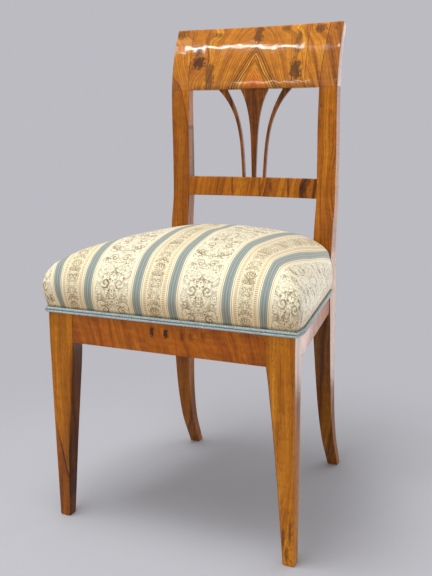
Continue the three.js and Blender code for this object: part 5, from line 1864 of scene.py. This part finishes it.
# %% [markdown]
# ## The braid
#
# A double-cord gimp hides the tacks along the cover's lower edge: two silk cords on a narrow woven
# tape, mitred at the front corners. Each cord is twisted from three strands, so it is a
# three-lobed section that turns as it travels. A node tree sweeps that section along the hem and
# sets the curve's tilt from the length travelled, one full turn for each lay of the twist.

# %% Twisted cord tree
cord_tree, given = new_tree("twisted_cord", (
    ("Radius", "Float", 0.002), ("Lobe Share", "Float", 0.16),
    ("Lay", "Float", 0.009), ("Step", "Float", 0.0011),
    ("Material", "Material", None),
))
path = node(cord_tree, "GeometryNodeMeshToCurve", {"Mesh": (given, "Geometry")})
even = node(
    cord_tree, "GeometryNodeResampleCurve", {"Curve": path, "Length": (given, "Step")},
    mode="LENGTH",
)
travelled = node(cord_tree, "GeometryNodeSplineParameter")
lays = node(cord_tree, "Math", {0: (travelled, "Length"), 1: (given, "Lay")}, operation="DIVIDE")
tilt = node(cord_tree, "Math", {0: lays, 1: 2 * math.pi}, operation="MULTIPLY")
turned = node(cord_tree, "GeometryNodeSetCurveTilt", {"Curve": even, "Tilt": tilt})
circle = node(
    cord_tree, "GeometryNodeCurvePrimitiveCircle", {"Resolution": 12, "Radius": (given, "Radius")},
)
round_share = node(cord_tree, "GeometryNodeSplineParameter")
thrice = node(cord_tree, "Math", {0: (round_share, "Factor"), 1: 6 * math.pi}, operation="MULTIPLY")
wave = node(cord_tree, "Math", {0: thrice}, operation="COSINE")
grow = node(
    cord_tree, "Math", {0: wave, 1: (given, "Lobe Share"), 2: 1.0}, operation="MULTIPLY_ADD",
)
spot = node(cord_tree, "GeometryNodeInputPosition")
lobed = node(cord_tree, "VectorMath", {0: spot, "Scale": grow}, operation="SCALE")
section = node(cord_tree, "GeometryNodeSetPosition", {"Geometry": circle, "Position": lobed})
cord = node(
    cord_tree, "GeometryNodeCurveToMesh",
    {"Curve": turned, "Profile Curve": section, "Fill Caps": True},
)
soft = node(cord_tree, "GeometryNodeSetShadeSmooth", {"Geometry": cord})
closing(cord_tree, soft, (given, "Material"))

# %% [markdown]
# Silk braid is blue-grey, with paler highlights where the strands stand up, and a soft sheen. Its
# strands are drawn about 1.6 mm apart, because real silk threads are too fine to show.

# %% Braid finish
def silk(name, dark, pale):
    """Twisted or woven silk, in two tones."""
    material, tree = blank_material(name)
    place = node(tree, "TexCoord"), "Object"
    strand = node(tree, "TexNoise", {"Vector": place, "Scale": 1 / (1.6 * mm), "Detail": 2.0})
    tone = node(tree, "ValToRGB", {0: strand})
    set_tones(tone, (dark, pale), 0.35, 0.65)
    bump = node(tree, "Bump", {"Strength": 0.4, "Distance": 0.3 * mm, "Height": strand})
    thread = node(tree, "BsdfPrincipled", {
        "Base Color": tone, "Roughness": 0.5, "Specular IOR Level": 0.5, "Normal": bump,
        "Sheen Weight": 0.4, "Sheen Roughness": 0.4, "Sheen Tint": linear("#e8f0f0"),
    })
    node(tree, "OutputMaterial", {"Surface": thread})
    return material


cord_silk = silk("Blue-grey silk cord", "#8fa3a5", "#cfd9d6")
tape_silk = silk("Blue-grey silk tape", "#42565a", "#5f7477")

# %% Braid along the hem
cord_radius = 2.1
cord_levels = (390.2, 395.0)
cord_out = 3.9


def hem_path(node_name, outward):
    """Points along the hem beside one strip of braid, in millimetres."""
    corners = moved_plan(outward)
    if node_name == "front_gimp":
        return np.array([corners[0], corners[1]])
    if node_name == "back_gimp":
        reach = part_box(node_name)[1].x / mm
        return np.array([(reach, corners[4][1]), (-reach, corners[4][1])])
    right = np.array(corners[1:4])
    return right if node_name == "right_gimp" else right * (-1, 1)


def braid(node_name, name):
    """One strip of double-cord braid: tape and two cords, as one piece."""
    inner, outer = hem_path(node_name, 2.3), hem_path(node_name, 3.6)
    tape_rings = [
        [(*a, hem_low + 0.4), (*b, hem_low + 0.6), (*b, hem_top - 0.6), (*a, hem_top - 0.4)]
        for a, b in zip(inner, outer)
    ]
    parts = [skin(name, tape_rings)]
    dressed(tape_silk, parts[0])
    route = hem_path(node_name, cord_out)
    for level, lay in zip(cord_levels, (8.0, -8.0)):
        line = bpy.data.meshes.new(name + "_path")
        line.from_pydata(
            (np.column_stack([route, np.full(len(route), level)]) * mm).tolist(),
            [(k, k + 1) for k in range(len(route) - 1)], [],
        )
        parts.append(grown(name + "_cord", cord_tree, {
            "Radius": cord_radius * mm, "Lobe Share": 0.17, "Lay": lay * mm, "Step": 1.1 * mm,
            "Material": cord_silk,
        }, line))
    bpy.context.view_layer.update()
    with bpy.context.temp_override(active_object=parts[0], selected_editable_objects=parts):
        bpy.ops.object.join()
    return stand_in(parts[0], "braid", node_name)


for side in ("front", "left", "right", "back"):
    braid(f"{side}_gimp", f"{side}_braid")

# %% Gimp pins
pin_spacing = 38
pin_places, pin_aims = [], []
for node_name in ("front_gimp", "right_gimp", "left_gimp", "back_gimp"):
    for begin, end in zip(hem_path(node_name, 4.6), hem_path(node_name, 4.6)[1:]):
        run = end - begin
        pins_here = int(np.linalg.norm(run) // pin_spacing)
        facing_out = np.array([run[1], -run[0]]) / np.linalg.norm(run)
        if facing_out @ (begin + end - 2 * np.array(seat_middle)) < 0:
            facing_out = -facing_out
        for number in range(pins_here):
            pin_places.append((*(begin + run * (number + 0.5) / pins_here), sum(cord_levels) / 2))
            pin_aims.append((*facing_out, 0))
pins = heads("gimp_pins", pin_places, pin_aims, 0.9, 0.6, 0.1, 5, blued)
stand_in(pins, "spring_steel")
print("pins:", len(pin_places))
